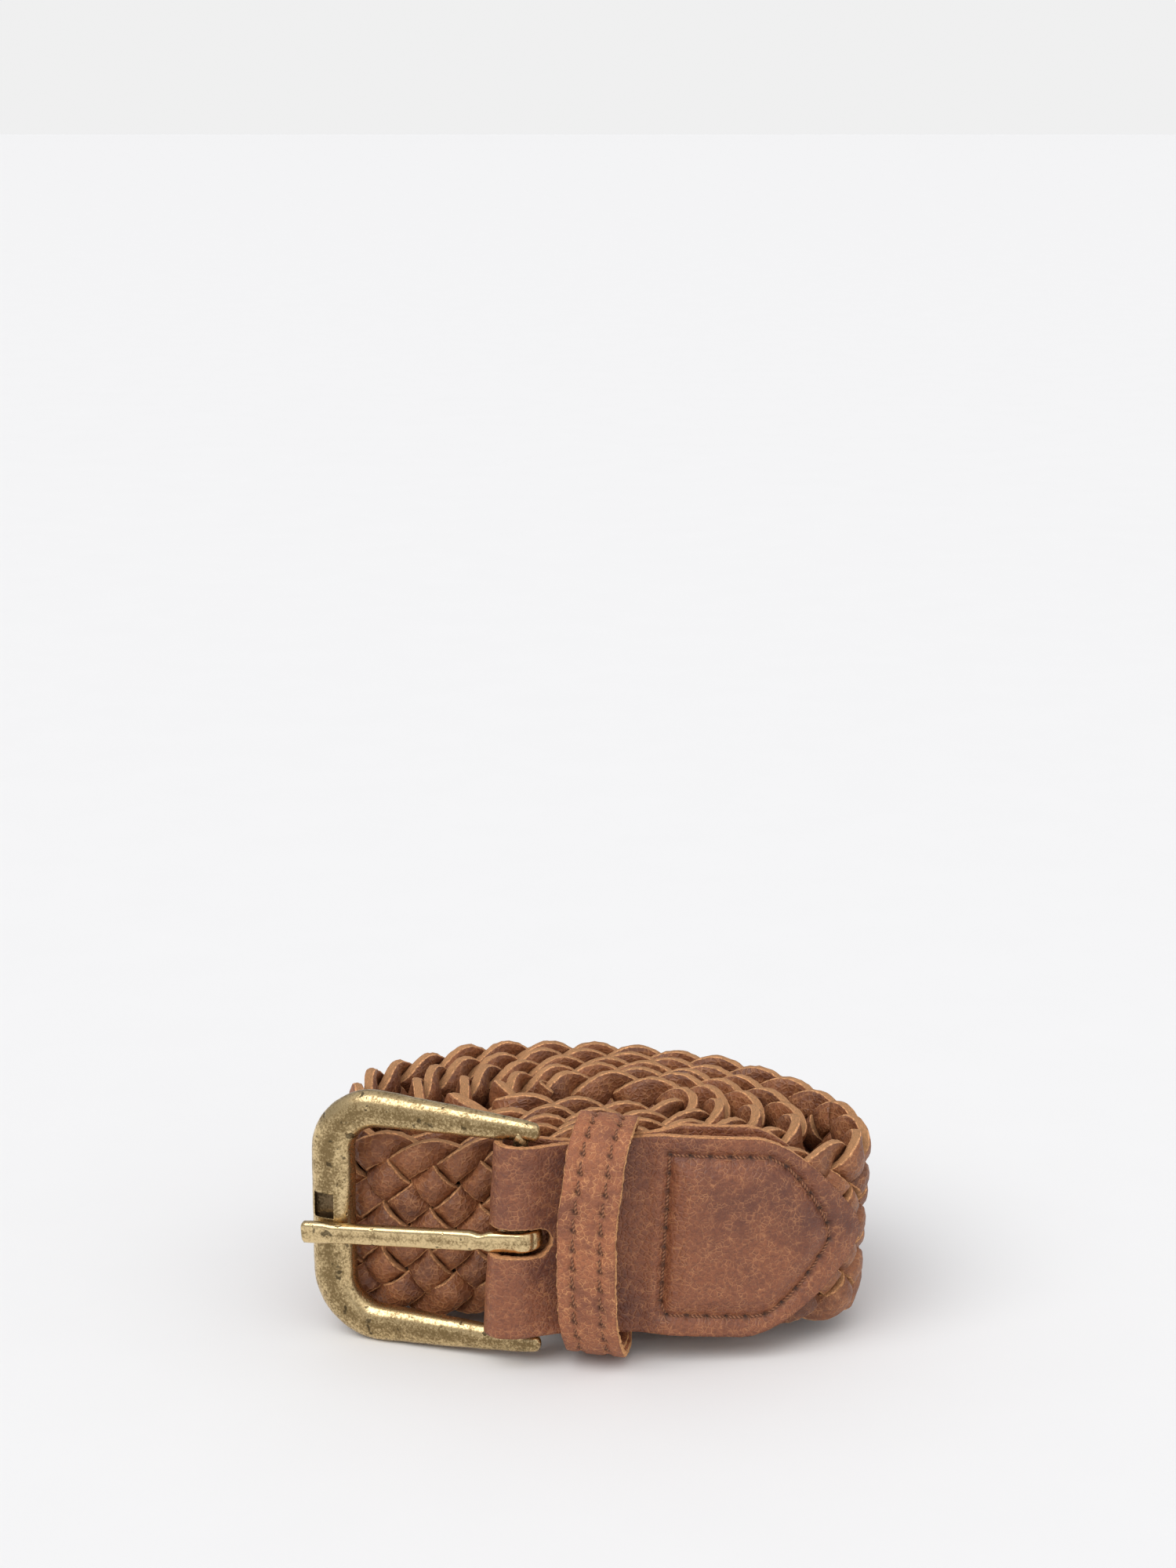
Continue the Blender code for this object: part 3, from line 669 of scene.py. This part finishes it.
def stitches(name, spans, rise, radius, slot_name, node, body):
    """Stitches as one mesh, from (start, end, outward) in the row frame."""
    sides, rings = 8, 9
    points, faces, grain = [], [], []
    for index, (start, end, outward) in enumerate(spans):
        faces += tube_faces(rings, sides, len(points))
        points += capsule_points(start, end, rise, outward, radius, sides, rings)
        length = np.linalg.norm(end - start)
        for k in range(rings):
            for j in range(sides):
                grain.append((length * k / (rings - 1) + index * 0.01, radius * math.tau * j / sides, 0.0))
    obj = finish_mesh(name, points, faces, THREAD, slot_name, body, grain_at=np.array(grain))
    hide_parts(node)
    return obj


def make_tab_stitches():
    """Stitches that lie in the seam's groove, on the leather's own face."""
    holes = needle_holes()
    line, lengths = fold_line()[:2]
    outward = fold_outward(line)
    front = np.arange(len(line)) < int(np.argmin(line[:, 0]))
    marks = np.where(np.isnan(lengths), line[:, 0], lengths)[front][::-1]
    ground, away = line[front][::-1], outward[front][::-1]

    def on_face(s, h):
        spot = np.array([np.interp(s, marks, ground[:, k]) for k in (0, 1)])
        out = np.array([np.interp(s, marks, away[:, k]) for k in (0, 1)])
        relief = float(seam_relief(seam_depth(np.array([s]), np.array([h])))[0])
        middle = float(chape_z(spot[0])) if spot[1] < CHAPE_SAG_Y else MID_Z
        place = on_floor(np.array((*(spot + out * (LEATHER / 2 + relief)), middle + h)))
        return place, TILT @ np.array((*out, 0.0))

    spans = []
    for a, b in zip(holes, np.roll(holes, -1, axis=0)):
        middle = (a + b) / 2
        a, b = middle + (a - middle) * 0.8, middle + (b - middle) * 0.8
        spans.append((on_face(*a)[0], on_face(*b)[0], on_face(*middle)[1]))
    stitches("tab_stitches", spans, 0.2 * MM, STITCH_RADIUS, "thread", "tab_stitching", "buckle_end")


# --- the folded leather ---------------------------------------------------------------------------


def smooth_line(points, per_span):
    """A Catmull-Rom curve through the points."""
    line = []
    ends = [points[0], *points, points[-1]]
    for before, start, end, after in zip(ends, ends[1:], ends[2:], ends[3:]):
        for k in range(per_span):
            t = k / per_span
            line.append(
                0.5 * (2 * start + (end - before) * t
                       + (2 * before - 5 * start + 4 * end - after) * t * t
                       + (3 * start - before - 3 * end + after) * t * t * t)
            )
    return line + [points[-1]]


def fold_line():
    """Plan of the folded leather from the tab's point round the bar, with a length mark from each point."""
    off = BRAID_THICKNESS / 2 + GAP + LEATHER / 2
    marks = np.arange(BRAID_START_X - 0.8 * MM, TAB_LENGTH, 0.45 * MM)
    marks = np.append(marks, [TAB_LENGTH - 0.25 * MM, TAB_LENGTH])
    marks = np.unique(np.round(marks, 6))
    front = np.column_stack(strap_plan(marks[::-1], off))
    back = np.column_stack(strap_plan(marks, -off))
    turn = [np.array((x, chape_middle(x) - n)) for x, n in FOLD_PLAN]
    turn += [np.array((FOLD_X + LEATHER / 2, chape_middle(FOLD_X)))]
    turn += [np.array((x, chape_middle(x) + n)) for x, n in reversed(FOLD_PLAN)]
    fold = np.array(smooth_line([front[-1], *turn, back[0]], 9))
    fold = even_line(fold, 0.45 * MM)[1]
    line = np.concatenate((front[:-1], fold, back[1:]))
    lengths = np.concatenate((marks[::-1][:-1], np.full(len(fold), np.nan), marks[1:]))
    side = np.concatenate((np.ones(len(front) - 1), np.zeros(len(fold)), -np.ones(len(back) - 1)))
    return line, lengths, side


def fold_outward(line):
    along = np.gradient(line, axis=0)
    along /= np.linalg.norm(along, axis=1)[:, None]
    return np.column_stack((-along[:, 1], along[:, 0]))


def make_chape():
    """The leather folded round the bar: one closed sheet with a slot for the prong and a padded tab."""
    line, lengths, side = fold_line()
    count = len(line)
    outward = fold_outward(line)
    x, y = line[:, 0], line[:, 1]
    middle = np.where(y < CHAPE_SAG_Y, chape_z(x), MID_Z)
    blend = smoothstep((x - SLOT_END_X) / (BRAID_START_X - SLOT_END_X))
    half = (FOLD_WIDTH + (LEATHER_WIDTH - FOLD_WIDTH) * blend) / 2
    tab = ~np.isnan(lengths)
    distance = np.where(tab, TAB_LENGTH - lengths, 1.0)
    half = np.where(tab, pointed_half_height(distance, TAB_POINT, TAB_BLUNT, LEATHER_WIDTH / 2), half)
    near = np.clip(distance / (1.4 * MM), 0, 1)
    half = half * np.sqrt(np.clip(1 - (1 - near) ** 2, 0.03, 1))

    run = np.concatenate(([0.0], np.cumsum(np.linalg.norm(np.diff(line, axis=0), axis=1))))
    slot_at = [int(np.argmin(np.where(where, np.abs(x - SLOT_END_X), 9))) for where in (
        (side == 0) & (np.arange(count) < count / 2), (side == 0) & (np.arange(count) > count / 2))]
    first, last = slot_at
    inside = np.minimum(run - run[first], run[last] - run)
    share = np.clip(1 - inside / SLOT_HALF_HEIGHT, 0, 1)
    slot = np.where(inside >= 0, SLOT_HALF_HEIGHT * np.sqrt(np.clip(1 - share**2, 0.06, 1)), 0.6 * MM)
    slot = np.minimum(slot, half * 0.3)

    rows = 30
    upper = [slot + (half - 0.1 * MM - slot) * (k / rows) for k in range(rows + 1)]
    heights = [-h for h in reversed(upper)] + upper
    face_rows = len(heights)
    columns, grain, cut, hollow = [], [], [], []
    holes = needle_holes()

    front = np.arange(count) < int(np.argmin(x))
    face_s = np.where(tab, lengths, x)

    def column(h, off, cut_share, outer):
        """One row of points along the leather, at heights h and off its middle."""
        relief = np.zeros(count)
        dark = np.zeros(count)
        if outer:
            shown = front & (face_s > SEAM_START_X - 5 * MM)
            start = smoothstep((face_s - (SEAM_START_X - 4 * MM)) / (2.5 * MM))
            relief = np.where(shown, seam_relief(seam_depth(face_s, h)) * start, 0.0)
            # Painted shade: each needle hole is pressed in, and its spot is coloured near black by the
            # leather material.
            for hole in holes:
                gap = np.hypot(face_s - hole[0], h - hole[1])
                dark = np.maximum(dark, np.where(shown, np.exp(-((gap / (0.45 * MM)) ** 2)), 0.0))
            relief = relief - dark * 0.45 * MM
        spots = np.column_stack((line + outward * off, middle + h))
        rough = rumple(spots, 5.5 * MM, 0.14 * MM, 1.0) + rumple(spots, 1.6 * MM, 0.05 * MM, 2.0)
        edge = rumple(spots, 0.7 * MM, 0.2 * MM, 3.0) * cut_share
        push = off + relief + rough
        place = np.column_stack((line + outward * push[:, None], middle + h + edge * np.sign(h)))
        columns.append(on_floor(place))
        grain.append(np.column_stack((run, h, np.full(count, off * 2))))
        cut.append(np.full(count, cut_share))
        hollow.append(dark)

    for k, h in enumerate(heights):
        at_slot = k in (rows, rows + 1)
        edge = np.where((inside >= 0) & at_slot, 0.85, 0.35 if k in (0, face_rows - 1) else 0.0)
        column(h, LEATHER / 2, edge, True)
        cut[-1] = edge
    top = half
    for off in (0.3 * LEATHER, -0.3 * LEATHER):
        column(top, off, 1.0, False)
    for k, h in enumerate(reversed(heights)):
        back_index = face_rows - 1 - k
        at_slot = back_index in (rows, rows + 1)
        edge = np.where((inside >= 0) & at_slot, 0.85, 0.35 if k in (0, face_rows - 1) else 0.0)
        column(h, -LEATHER / 2, edge, False)
        cut[-1] = edge
    for off in (-0.3 * LEATHER, 0.3 * LEATHER):
        column(-top, off, 1.0, False)

    sides = len(columns)
    points = np.stack(columns, axis=1).reshape(-1, 3)
    faces = []
    outer_low, outer_high = rows, rows + 1
    inner_high, inner_low = face_rows + 2 + rows, face_rows + 2 + rows + 1
    for i in range(count - 1):
        in_slot = inside[i] >= 0 and inside[i + 1] >= 0
        for k in range(sides):
            after = (k + 1) % sides
            if in_slot and k in (outer_low, inner_high):
                continue
            faces.append((i * sides + k, i * sides + after, (i + 1) * sides + after, (i + 1) * sides + k))
        if in_slot:
            for outer, inner, flip in ((outer_high, inner_high, False), (outer_low, inner_low, True)):
                near, far = i * sides, (i + 1) * sides
                wall = [near + outer, far + outer, far + inner, near + inner]
                faces.append(tuple(reversed(wall)) if flip else tuple(wall))
    slots = [i for i in range(count) if inside[i] >= 0]
    for i, flip in ((slots[0], True), (slots[-1], False)):
        wall = [i * sides + k for k in (outer_low, outer_high, inner_high, inner_low)]
        faces.append(tuple(reversed(wall)) if flip else tuple(wall))
    faces.append(tuple(reversed(range(sides))))
    faces.append(tuple((count - 1) * sides + k for k in range(sides)))
    obj = finish_mesh(
        "folded_leather", points, faces, TAB_LEATHER, "leather", "buckle_end",
        grain_at=np.stack(grain, axis=1).reshape(-1, 3), cut=np.stack(cut, axis=1).ravel(),
        hollow=np.stack(hollow, axis=1).ravel(),
    )
    out_facing(obj)
    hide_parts("chape")


def out_facing(obj):
    made = bmesh.new()
    made.from_mesh(obj.data)
    bmesh.ops.recalc_face_normals(made, faces=made.faces)
    made.to_mesh(obj.data)
    made.free()


# --- keeper ---------------------------------------------------------------------------------------


def keeper_outline(inset, count):
    """The keeper seen along the strap, flat behind it and bulging in front, and its outward normals."""
    angles = math.tau * np.arange(count * 8) / (count * 8)
    back, bulge, half = KEEPER_BACK - inset, KEEPER_BULGE - inset, KEEPER_HALF_HEIGHT - inset
    side, up = np.cos(angles), np.sin(angles)
    depth = np.where(side > 0, back, bulge)
    power = np.where(side > 0, 0.45, 0.8)
    outwards = depth * np.sign(side) * np.abs(side) ** power
    ring = np.column_stack((outwards, half * np.sign(up) * np.abs(up) ** 0.8))
    marks, even = even_line(np.concatenate((ring, ring[:1])), 0.05 * MM)
    picks = np.linspace(0, marks[-1], count, endpoint=False)
    spots = np.column_stack([np.interp(picks, marks, even[:, k]) for k in (0, 1)])
    along = np.roll(spots, -1, axis=0) - np.roll(spots, 1, axis=0)
    along /= np.linalg.norm(along, axis=1)[:, None]
    return spots, np.column_stack((along[:, 1], -along[:, 0])), picks


def keeper_drift(height):
    """How far the keeper stands along the strap: its middle is pushed back and its foot leans out."""
    up = height / KEEPER_HALF_HEIGHT
    return KEEPER_LEAN * (1 - up) - KEEPER_BOW * np.clip(1 - up**2, 0, 1)


def keeper_matrix():
    from_ring = Matrix.Translation((0.0, chape_middle(0.0), float(chape_z(0.0))))
    turn = Matrix.Rotation(math.radians(90 + KEEPER_TURN_DEG), 4, "Z") @ Matrix.Rotation(math.pi / 2, 4, "X")
    belt = Matrix.Translation(ORIGIN_SHIFT) @ belt_tilt().to_matrix().to_4x4()
    return np.array(belt @ from_ring @ turn)


def band(name, inset, thickness, width, surface, node, relief):
    """A closed band of leather round the strap, with rough cut sides, and with relief set, grooved stitch
    rows whose needle holes get painted shade.
    """
    count, across = 150, 22
    spots, normals, run = keeper_outline(inset, count)
    offsets = np.linspace(-1, 1, across)
    ring = [(q * (width / 2 - 0.12 * MM), 0.0, 0.3 if abs(q) > 0.99 else 0.0) for q in offsets]
    ring += [(width / 2, -0.25 * thickness, 1.0), (width / 2, -0.75 * thickness, 1.0)]
    ring += [(q * (width / 2 - 0.12 * MM), -thickness, 0.3 if abs(q) > 0.99 else 0.0) for q in offsets[::-1]]
    ring += [(-width / 2, -0.75 * thickness, 1.0), (-width / 2, -0.25 * thickness, 1.0)]
    matrix = keeper_matrix()
    points, grain, cut, hollow = [], [], [], []
    for z, off, cut_share in ring:
        outer = off == 0.0
        base = np.column_stack((spots + normals * off, np.full(count, z)))
        push = rumple(base, 3.2 * MM, 0.2 * MM, 5.0 + inset * 900) + rumple(base, 0.9 * MM, 0.09 * MM, 7.0)
        dark = np.zeros(count)
        if outer and relief:
            # Painted shade: dark spots at the needle holes along both rows, which are also pressed in.
            for row in (-KEEPER_ROW_OFFSET, KEEPER_ROW_OFFSET):
                gap = z - row - 0.28 * MM * np.sin(run / STITCH_PITCH * math.tau)
                push = push - ROW_GROOVE * np.exp(-((gap / (0.5 * MM)) ** 2))
                pulse = np.clip(np.cos(run / STITCH_PITCH * math.tau), 0, 1) ** 2
                needle_hole_shade = np.exp(-((gap / (0.42 * MM)) ** 2)) * pulse
                dark = np.maximum(dark, needle_hole_shade)
            push = push - dark * 0.35 * MM
        sway = rumple(np.column_stack((spots, np.zeros(count))), 9 * MM, ROW_SWAY, 9.0)
        ragged = rumple(base, 0.6 * MM, 0.3 * MM, 11.0) * cut_share
        across_z = z + sway + ragged + keeper_drift(spots[:, 1])
        place = np.column_stack((spots + normals * (off + push)[:, None], across_z))
        points.append(place @ matrix[:3, :3].T + matrix[:3, 3])
        grain.append(np.column_stack((run, np.full(count, z + off), np.full(count, inset * 9))))
        cut.append(np.full(count, cut_share))
        hollow.append(dark)
    sides = len(ring)
    obj = finish_mesh(
        name, np.stack(points, axis=1), tube_faces(count, sides, closed=True), surface, "keeper", "keeper",
        grain_at=np.stack(grain, axis=1).reshape(-1, 3), cut=np.stack(cut, axis=1).ravel(),
        hollow=np.stack(hollow, axis=1).ravel(),
    )
    out_facing(obj)
    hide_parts(node)
    return obj


def make_keeper():
    outer = KEEPER_LEATHER + 0.12 * MM
    band("keeper_band", 0.0, outer, KEEPER_WIDTH, KEEPER_LEATHER_LOOK, "keeper_loop", True)
    inner = KEEPER_LEATHER + GAP
    band("keeper_inside", inner - 0.14 * MM, KEEPER_LINING + 0.1 * MM, KEEPER_WIDTH - 0.7 * MM,
         KEEPER_LEATHER_LOOK, "keeper_lining", False)
    matrix = keeper_matrix()
    spots, normals, run = keeper_outline(0.0, 600)
    count = int(round(run[-1] / STITCH_PITCH))
    for name, row, node in (
        ("keeper_stitches_left", -KEEPER_ROW_OFFSET, "keeper_stitching_left"),
        ("keeper_stitches_right", KEEPER_ROW_OFFSET, "keeper_stitching_right"),
    ):
        spans = []
        for k in range(count):
            ends = []
            for share, slant in ((0.1, -0.22 * MM), (0.9, 0.3 * MM)):
                i = int((k + 0.25 + share) / count * len(run)) % len(run)
                sway = rumple(np.array([[*spots[i], 0.0]]), 9 * MM, ROW_SWAY, 9.0)[0]
                across = row + slant + sway + keeper_drift(spots[i][1])
                place = np.array((*(spots[i] - normals[i] * 0.3 * MM), across))
                ends.append(matrix[:3, :3] @ place + matrix[:3, 3])
            out = matrix[:3, :3] @ np.array((*normals[i], 0.0))
            spans.append((ends[0], ends[1], out))
        stitches(name, spans, 0.12 * MM, STITCH_RADIUS * 0.85, "thread", node, "keeper")


# --- buckle ---------------------------------------------------------------------------------------


def buckle_matrix():
    bar = Vector((BAR_X, chape_middle(BAR_X), float(chape_z(BAR_X))))
    turned = Quaternion((0.0, 0.0, 1.0), math.pi - math.radians(BUCKLE_TURN_DEG)).to_matrix().to_4x4()
    place = belt_tilt() @ bar + ORIGIN_SHIFT
    return Matrix.Translation(place) @ turned


def sweep(line, frames, ring, sizes):
    """Rings along a line: frames are (first, second) axes, and sizes the half sizes along them."""
    points = []
    for place, (first, second), (wide, deep) in zip(line, frames, sizes):
        points.append([place + first * (a * wide) + second * (b * deep) for a, b in ring])
    return np.array(points)


def metal(name, points, faces, node, body, rubbed):
    obj = finish_mesh(name, points, faces, BRASS, "brass", body, rubbed=rubbed)
    out_facing(obj)
    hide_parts(node)
    return obj


def make_frame():
    """The cast frame: tapering arms, soft corners, and a heavier far side with a notch above the prong."""
    straight_end = CROSS_U - CORNER_RADIUS
    far_w = ARM_W + ARM_FLARE
    line, widths = [], []
    for k in range(48):
        t = k / 48
        line.append((ARM_END_U + (straight_end - ARM_END_U) * t, ARM_W + ARM_FLARE * t))
        widths.append(SECTION_END + (SECTION_CORNER - SECTION_END) * t**0.8)
    for k in range(28):
        angle = math.pi / 2 * (1 - k / 28)
        line.append(
            (
                straight_end + CORNER_RADIUS * math.cos(angle),
                far_w - CORNER_RADIUS + CORNER_RADIUS * math.sin(angle),
            )
        )
        widths.append(SECTION_CORNER + (SECTION_CROSS - SECTION_CORNER) * k / 28)
    for k in range(16):
        line.append((CROSS_U, (far_w - CORNER_RADIUS) * (1 - k / 16)))
        widths.append(SECTION_CROSS)
    line = line + [(CROSS_U, 0.0)] + [(u, -w) for u, w in reversed(line)]
    widths = widths + [SECTION_CROSS] + widths[::-1]
    spots = np.array([(u, 0.0, w) for u, w in line])
    sizes = np.array(widths)
    along = np.gradient(spots, axis=0)
    along /= np.linalg.norm(along, axis=1)[:, None]
    for end, way in ((0, -1), (-1, 1)):
        centre, radius, direction = spots[end].copy(), sizes[end], along[end] * way
        extra = [centre + direction * radius * math.sin(math.pi / 2 * k / 6) * 0.8 for k in range(1, 7)]
        small = [radius * math.cos(math.pi / 2 * min(k / 6, 0.94)) for k in range(1, 7)]
        if way < 0:
            spots = np.concatenate((np.array(extra[::-1]), spots))
            sizes = np.concatenate((small[::-1], sizes))
            along = np.concatenate((np.repeat(along[:1], 6, axis=0), along))
        else:
            spots = np.concatenate((spots, np.array(extra)))
            sizes = np.concatenate((sizes, small))
            along = np.concatenate((along, np.repeat(along[-1:], 6, axis=0)))
    thick = np.array((0.0, 1.0, 0.0))
    frames = [(np.cross(a, thick), thick) for a in along]
    ring = rounded_ring(28, 2.3)
    points = sweep(spots, frames, ring, [(w, w * FRAME_THICKNESS_SHARE) for w in sizes])
    base = points.reshape(-1, 3)
    push = rumple(base, 4 * MM, 0.1 * MM, 21.0) + rumple(base, 1.1 * MM, 0.03 * MM, 22.0)
    centres = np.repeat(spots, len(ring), axis=0)
    away = base - centres
    away /= np.linalg.norm(away, axis=1)[:, None]
    base = base + away * push[:, None]
    rubbed = np.clip(-away[:, 1], -1, 1) * 0.5 + np.tile(np.abs(ring[:, 0] * ring[:, 1]), len(spots))
    matrix = np.array(buckle_matrix())
    world = base @ matrix[:3, :3].T + matrix[:3, 3]
    obj = metal("frame", world, tube_faces(len(spots), len(ring)), "buckle_frame", "buckle", rubbed)
    bpy.ops.mesh.primitive_cube_add(size=1.0)
    notch = bpy.context.object
    notch.data.transform(Matrix.Diagonal((NOTCH[0], 2 * NOTCH[2], NOTCH[1], 1.0)))
    spot = (CROSS_U + NOTCH_OFFSET, SECTION_CROSS * FRAME_THICKNESS_SHARE, NOTCH_W)
    notch.data.transform(buckle_matrix() @ Matrix.Translation(spot))
    notch.data.materials.append(TARNISH)
    cut(obj, notch)


def cut(obj, cutter):
    """Takes the cutter out of the mesh for good."""
    if not cutter.data.materials:
        cutter.data.materials.append(obj.data.materials[0])
    modifier = obj.modifiers.new("cut", "BOOLEAN")
    modifier.operation, modifier.object, modifier.solver = "DIFFERENCE", cutter, "EXACT"
    modifier.material_mode = "TRANSFER"
    evaluated = obj.evaluated_get(bpy.context.evaluated_depsgraph_get())
    mesh = bpy.data.meshes.new_from_object(evaluated)
    obj.modifiers.clear()
    old, obj.data = obj.data, mesh
    bpy.data.meshes.remove(old)
    bpy.data.objects.remove(cutter)


def make_bar():
    count = 20
    heights = [BAR_HALF_LENGTH * math.sin(math.pi / 2 * (2 * k / count - 1)) for k in range(count + 1)]
    spots = np.array([(0.0, 0.0, height) for height in heights])
    sizes = np.array([BAR_RADIUS * (0.75 + 0.25 * min(1.0, min(k, count - k))) for k in range(count + 1)])
    axes = (np.array((1.0, 0.0, 0.0)), np.array((0.0, 1.0, 0.0)))
    points = sweep(spots, [axes] * len(spots), rounded_ring(24, 2.0), [(r, r) for r in sizes]).reshape(-1, 3)
    matrix = np.array(buckle_matrix())
    world = points @ matrix[:3, :3].T + matrix[:3, 3]
    metal("bar", world, tube_faces(len(spots), 24), "buckle_bar", "buckle", np.zeros(len(points)))


def make_prong():
    """The prong: a drawn bar bent round the buckle's bar, flattened where it rests on the far side."""
    loop = (PRONG_EYE + PRONG_HOLE) / 2
    spots, sizes = [], []
    for k in range(34):
        angle = math.radians(12 - 282 * k / 34)
        spots.append((loop * math.cos(angle), loop * math.sin(angle)))
        sizes.append((PRONG_HALF_WIDTH * (0.9 + 0.1 * k / 34), (PRONG_EYE - PRONG_HOLE) / 2))
    for k in range(61):
        t = k / 60
        u = (PRONG_LENGTH - 0.3 * MM) * t
        v = loop + (PRONG_TIP_V - loop) * t
        root = math.exp(-(((u - 6.2 * MM) / (1.1 * MM)) ** 2))
        rest = smoothstep((u - 33.0 * MM) / (1.5 * MM))
        wide = PRONG_HALF_WIDTH * (1 - 0.24 * root - 0.04 * t + 0.12 * rest)
        deep = 0.85 * MM + (PRONG_HALF_THICKNESS - 0.85 * MM) * smoothstep(u / (5 * MM)) - 0.12 * MM * rest
        spots.append((u, v))
        sizes.append((wide, deep))
    spots.append((PRONG_LENGTH, PRONG_TIP_V))
    sizes.append((PRONG_HALF_WIDTH * 0.86, PRONG_HALF_THICKNESS * 0.7))
    line = np.array([(u, v, 0.0) for u, v in spots])
    along = np.gradient(line, axis=0)
    along /= np.linalg.norm(along, axis=1)[:, None]
    wide = np.array((0.0, 0.0, 1.0))
    frames = [(wide, np.cross(a, wide)) for a in along]
    ring = rounded_ring(20, 3.6)
    points = sweep(line, frames, ring, sizes).reshape(-1, 3)
    push = rumple(points, 2.5 * MM, 0.07 * MM, 31.0)
    centres = np.repeat(line, len(ring), axis=0)
    away = points - centres
    points = points + away / np.linalg.norm(away, axis=1)[:, None] * push[:, None]
    rubbed = np.tile(np.abs(ring[:, 0] * ring[:, 1]), len(line))
    matrix = np.array(buckle_matrix() @ Matrix.Rotation(math.radians(PRONG_SAG_DEG), 4, "Y"))
    world = points @ matrix[:3, :3].T + matrix[:3, 3]
    metal("prong", world, tube_faces(len(line), len(ring)), "buckle_prong", "prong", rubbed)


# --- tip ------------------------------------------------------------------------------------------


def make_tip():
    """The two pointed leathers over the strap's free end."""
    marks = np.append(np.arange(COIL_TOTAL - TIP_LENGTH + GAP, COIL_TOTAL, 0.5 * MM), COIL_TOTAL)
    half = pointed_half_height(COIL_TOTAL - marks, TIP_POINT, 1.5 * MM, TIP_HALF_HEIGHT)
    rows = 20
    off = TIP_CORE / 2 + GAP + TIP_LEATHER / 2
    for name, way, node in (
        ("tip_leather_outer", 1, "tip_outer_leather"),
        ("tip_leather_inner", -1, "tip_inner_leather"),
    ):
        columns, grain, cut = [], [], []
        shares = np.linspace(-1, 1, rows)
        ring = [(q * 0.985, 0.5, 0.3 if abs(q) > 0.99 else 0.0) for q in shares]
        ring += [(1.0, 0.25, 1.0), (1.0, -0.25, 1.0)]
        ring += [(-q * 0.985, -0.5, 0.3 if abs(q) > 0.99 else 0.0) for q in shares]
        ring += [(-1.0, -0.25, 1.0), (-1.0, 0.25, 1.0)]
        for q, deep, cut_share in ring:
            place = strap_point(marks, way * off + deep * TIP_LEATHER, BRAID_Z + q * half)
            columns.append(place)
            grain.append(np.column_stack((marks, q * half, np.full(len(marks), way * 0.01 + deep * MM))))
            cut.append(np.full(len(marks), cut_share))
        obj = finish_mesh(
            name, np.stack(columns, axis=1), tube_faces(len(marks), len(ring)), TAB_LEATHER,
            "leather", "coil",
            grain_at=np.stack(grain, axis=1).reshape(-1, 3), cut=np.stack(cut, axis=1).ravel(),
            hollow=np.zeros(len(marks) * len(ring)),
        )
        out_facing(obj)
        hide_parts(node)


# --- studio ---------------------------------------------------------------------------------------


def make_camera():
    low, high = CAD_BOX
    camera = bpy.data.objects.new("camera", bpy.data.cameras.new("camera"))
    bpy.context.scene.collection.objects.link(camera)
    camera.location = ((low.x + high.x) / 2 + 0.34 * MM, low.y - 438.0 * MM, low.z + 214.05 * MM)
    camera.rotation_euler = (math.radians(75.8), 0.0, 0.0)
    camera.data.lens = 65.9
    camera.data.sensor_width = 36.0
    camera.data.clip_start, camera.data.clip_end = 0.01, 40.0
    bpy.context.scene.camera = camera


def make_studio():
    """A wide pale floor under soft lights from above, with an even pale surround."""
    bpy.ops.mesh.primitive_plane_add(size=16.0)
    floor = bpy.context.object
    floor.name = "floor"
    paint = Surface("floor paint", Roughness=0.9)
    grain = paint.noise(paint.node("TexCoord").outputs["Object"], 40.0)
    tone = paint.blend(grain, (0.86, 0.86, 0.86), (0.88, 0.88, 0.88))
    paint.tree.links.new(tone, paint.shader.inputs["Base Color"])
    floor.data.materials.append(paint.material)
    for name, power, spread, turn in (
        ("key", 1.5, 50, (38, -18, -20)), ("fill", 0.75, 90, (52, 30, 25)), ("top", 0.5, 120, (0, 0, 0))
    ):
        lamp = bpy.data.objects.new(name, bpy.data.lights.new(name, "SUN"))
        bpy.context.scene.collection.objects.link(lamp)
        lamp.data.energy = power
        lamp.data.angle = math.radians(spread)
        lamp.rotation_euler = tuple(math.radians(a) for a in turn)
    world = bpy.data.worlds.new("surround")
    bpy.context.scene.world = world
    world.use_nodes = True
    tree = world.node_tree
    seen = tree.nodes.new("ShaderNodeBackground")
    seen.inputs["Color"].default_value = (0.87, 0.87, 0.87, 1.0)
    lit = tree.nodes["Background"]
    lit.inputs["Color"].default_value = (0.42, 0.42, 0.43, 1.0)
    path = tree.nodes.new("ShaderNodeLightPath")
    mixed = tree.nodes.new("ShaderNodeMixShader")
    tree.links.new(path.outputs["Is Camera Ray"], mixed.inputs[0])
    tree.links.new(lit.outputs[0], mixed.inputs[1])
    tree.links.new(seen.outputs[0], mixed.inputs[2])
    tree.links.new(mixed.outputs[0], tree.nodes["World Output"].inputs["Surface"])
    bpy.context.scene.view_settings.view_transform = "Standard"


make_camera()
make_studio()
make_plait()
make_chape()
make_tab_stitches()
make_keeper()
make_frame()
make_bar()
make_prong()
make_tip()
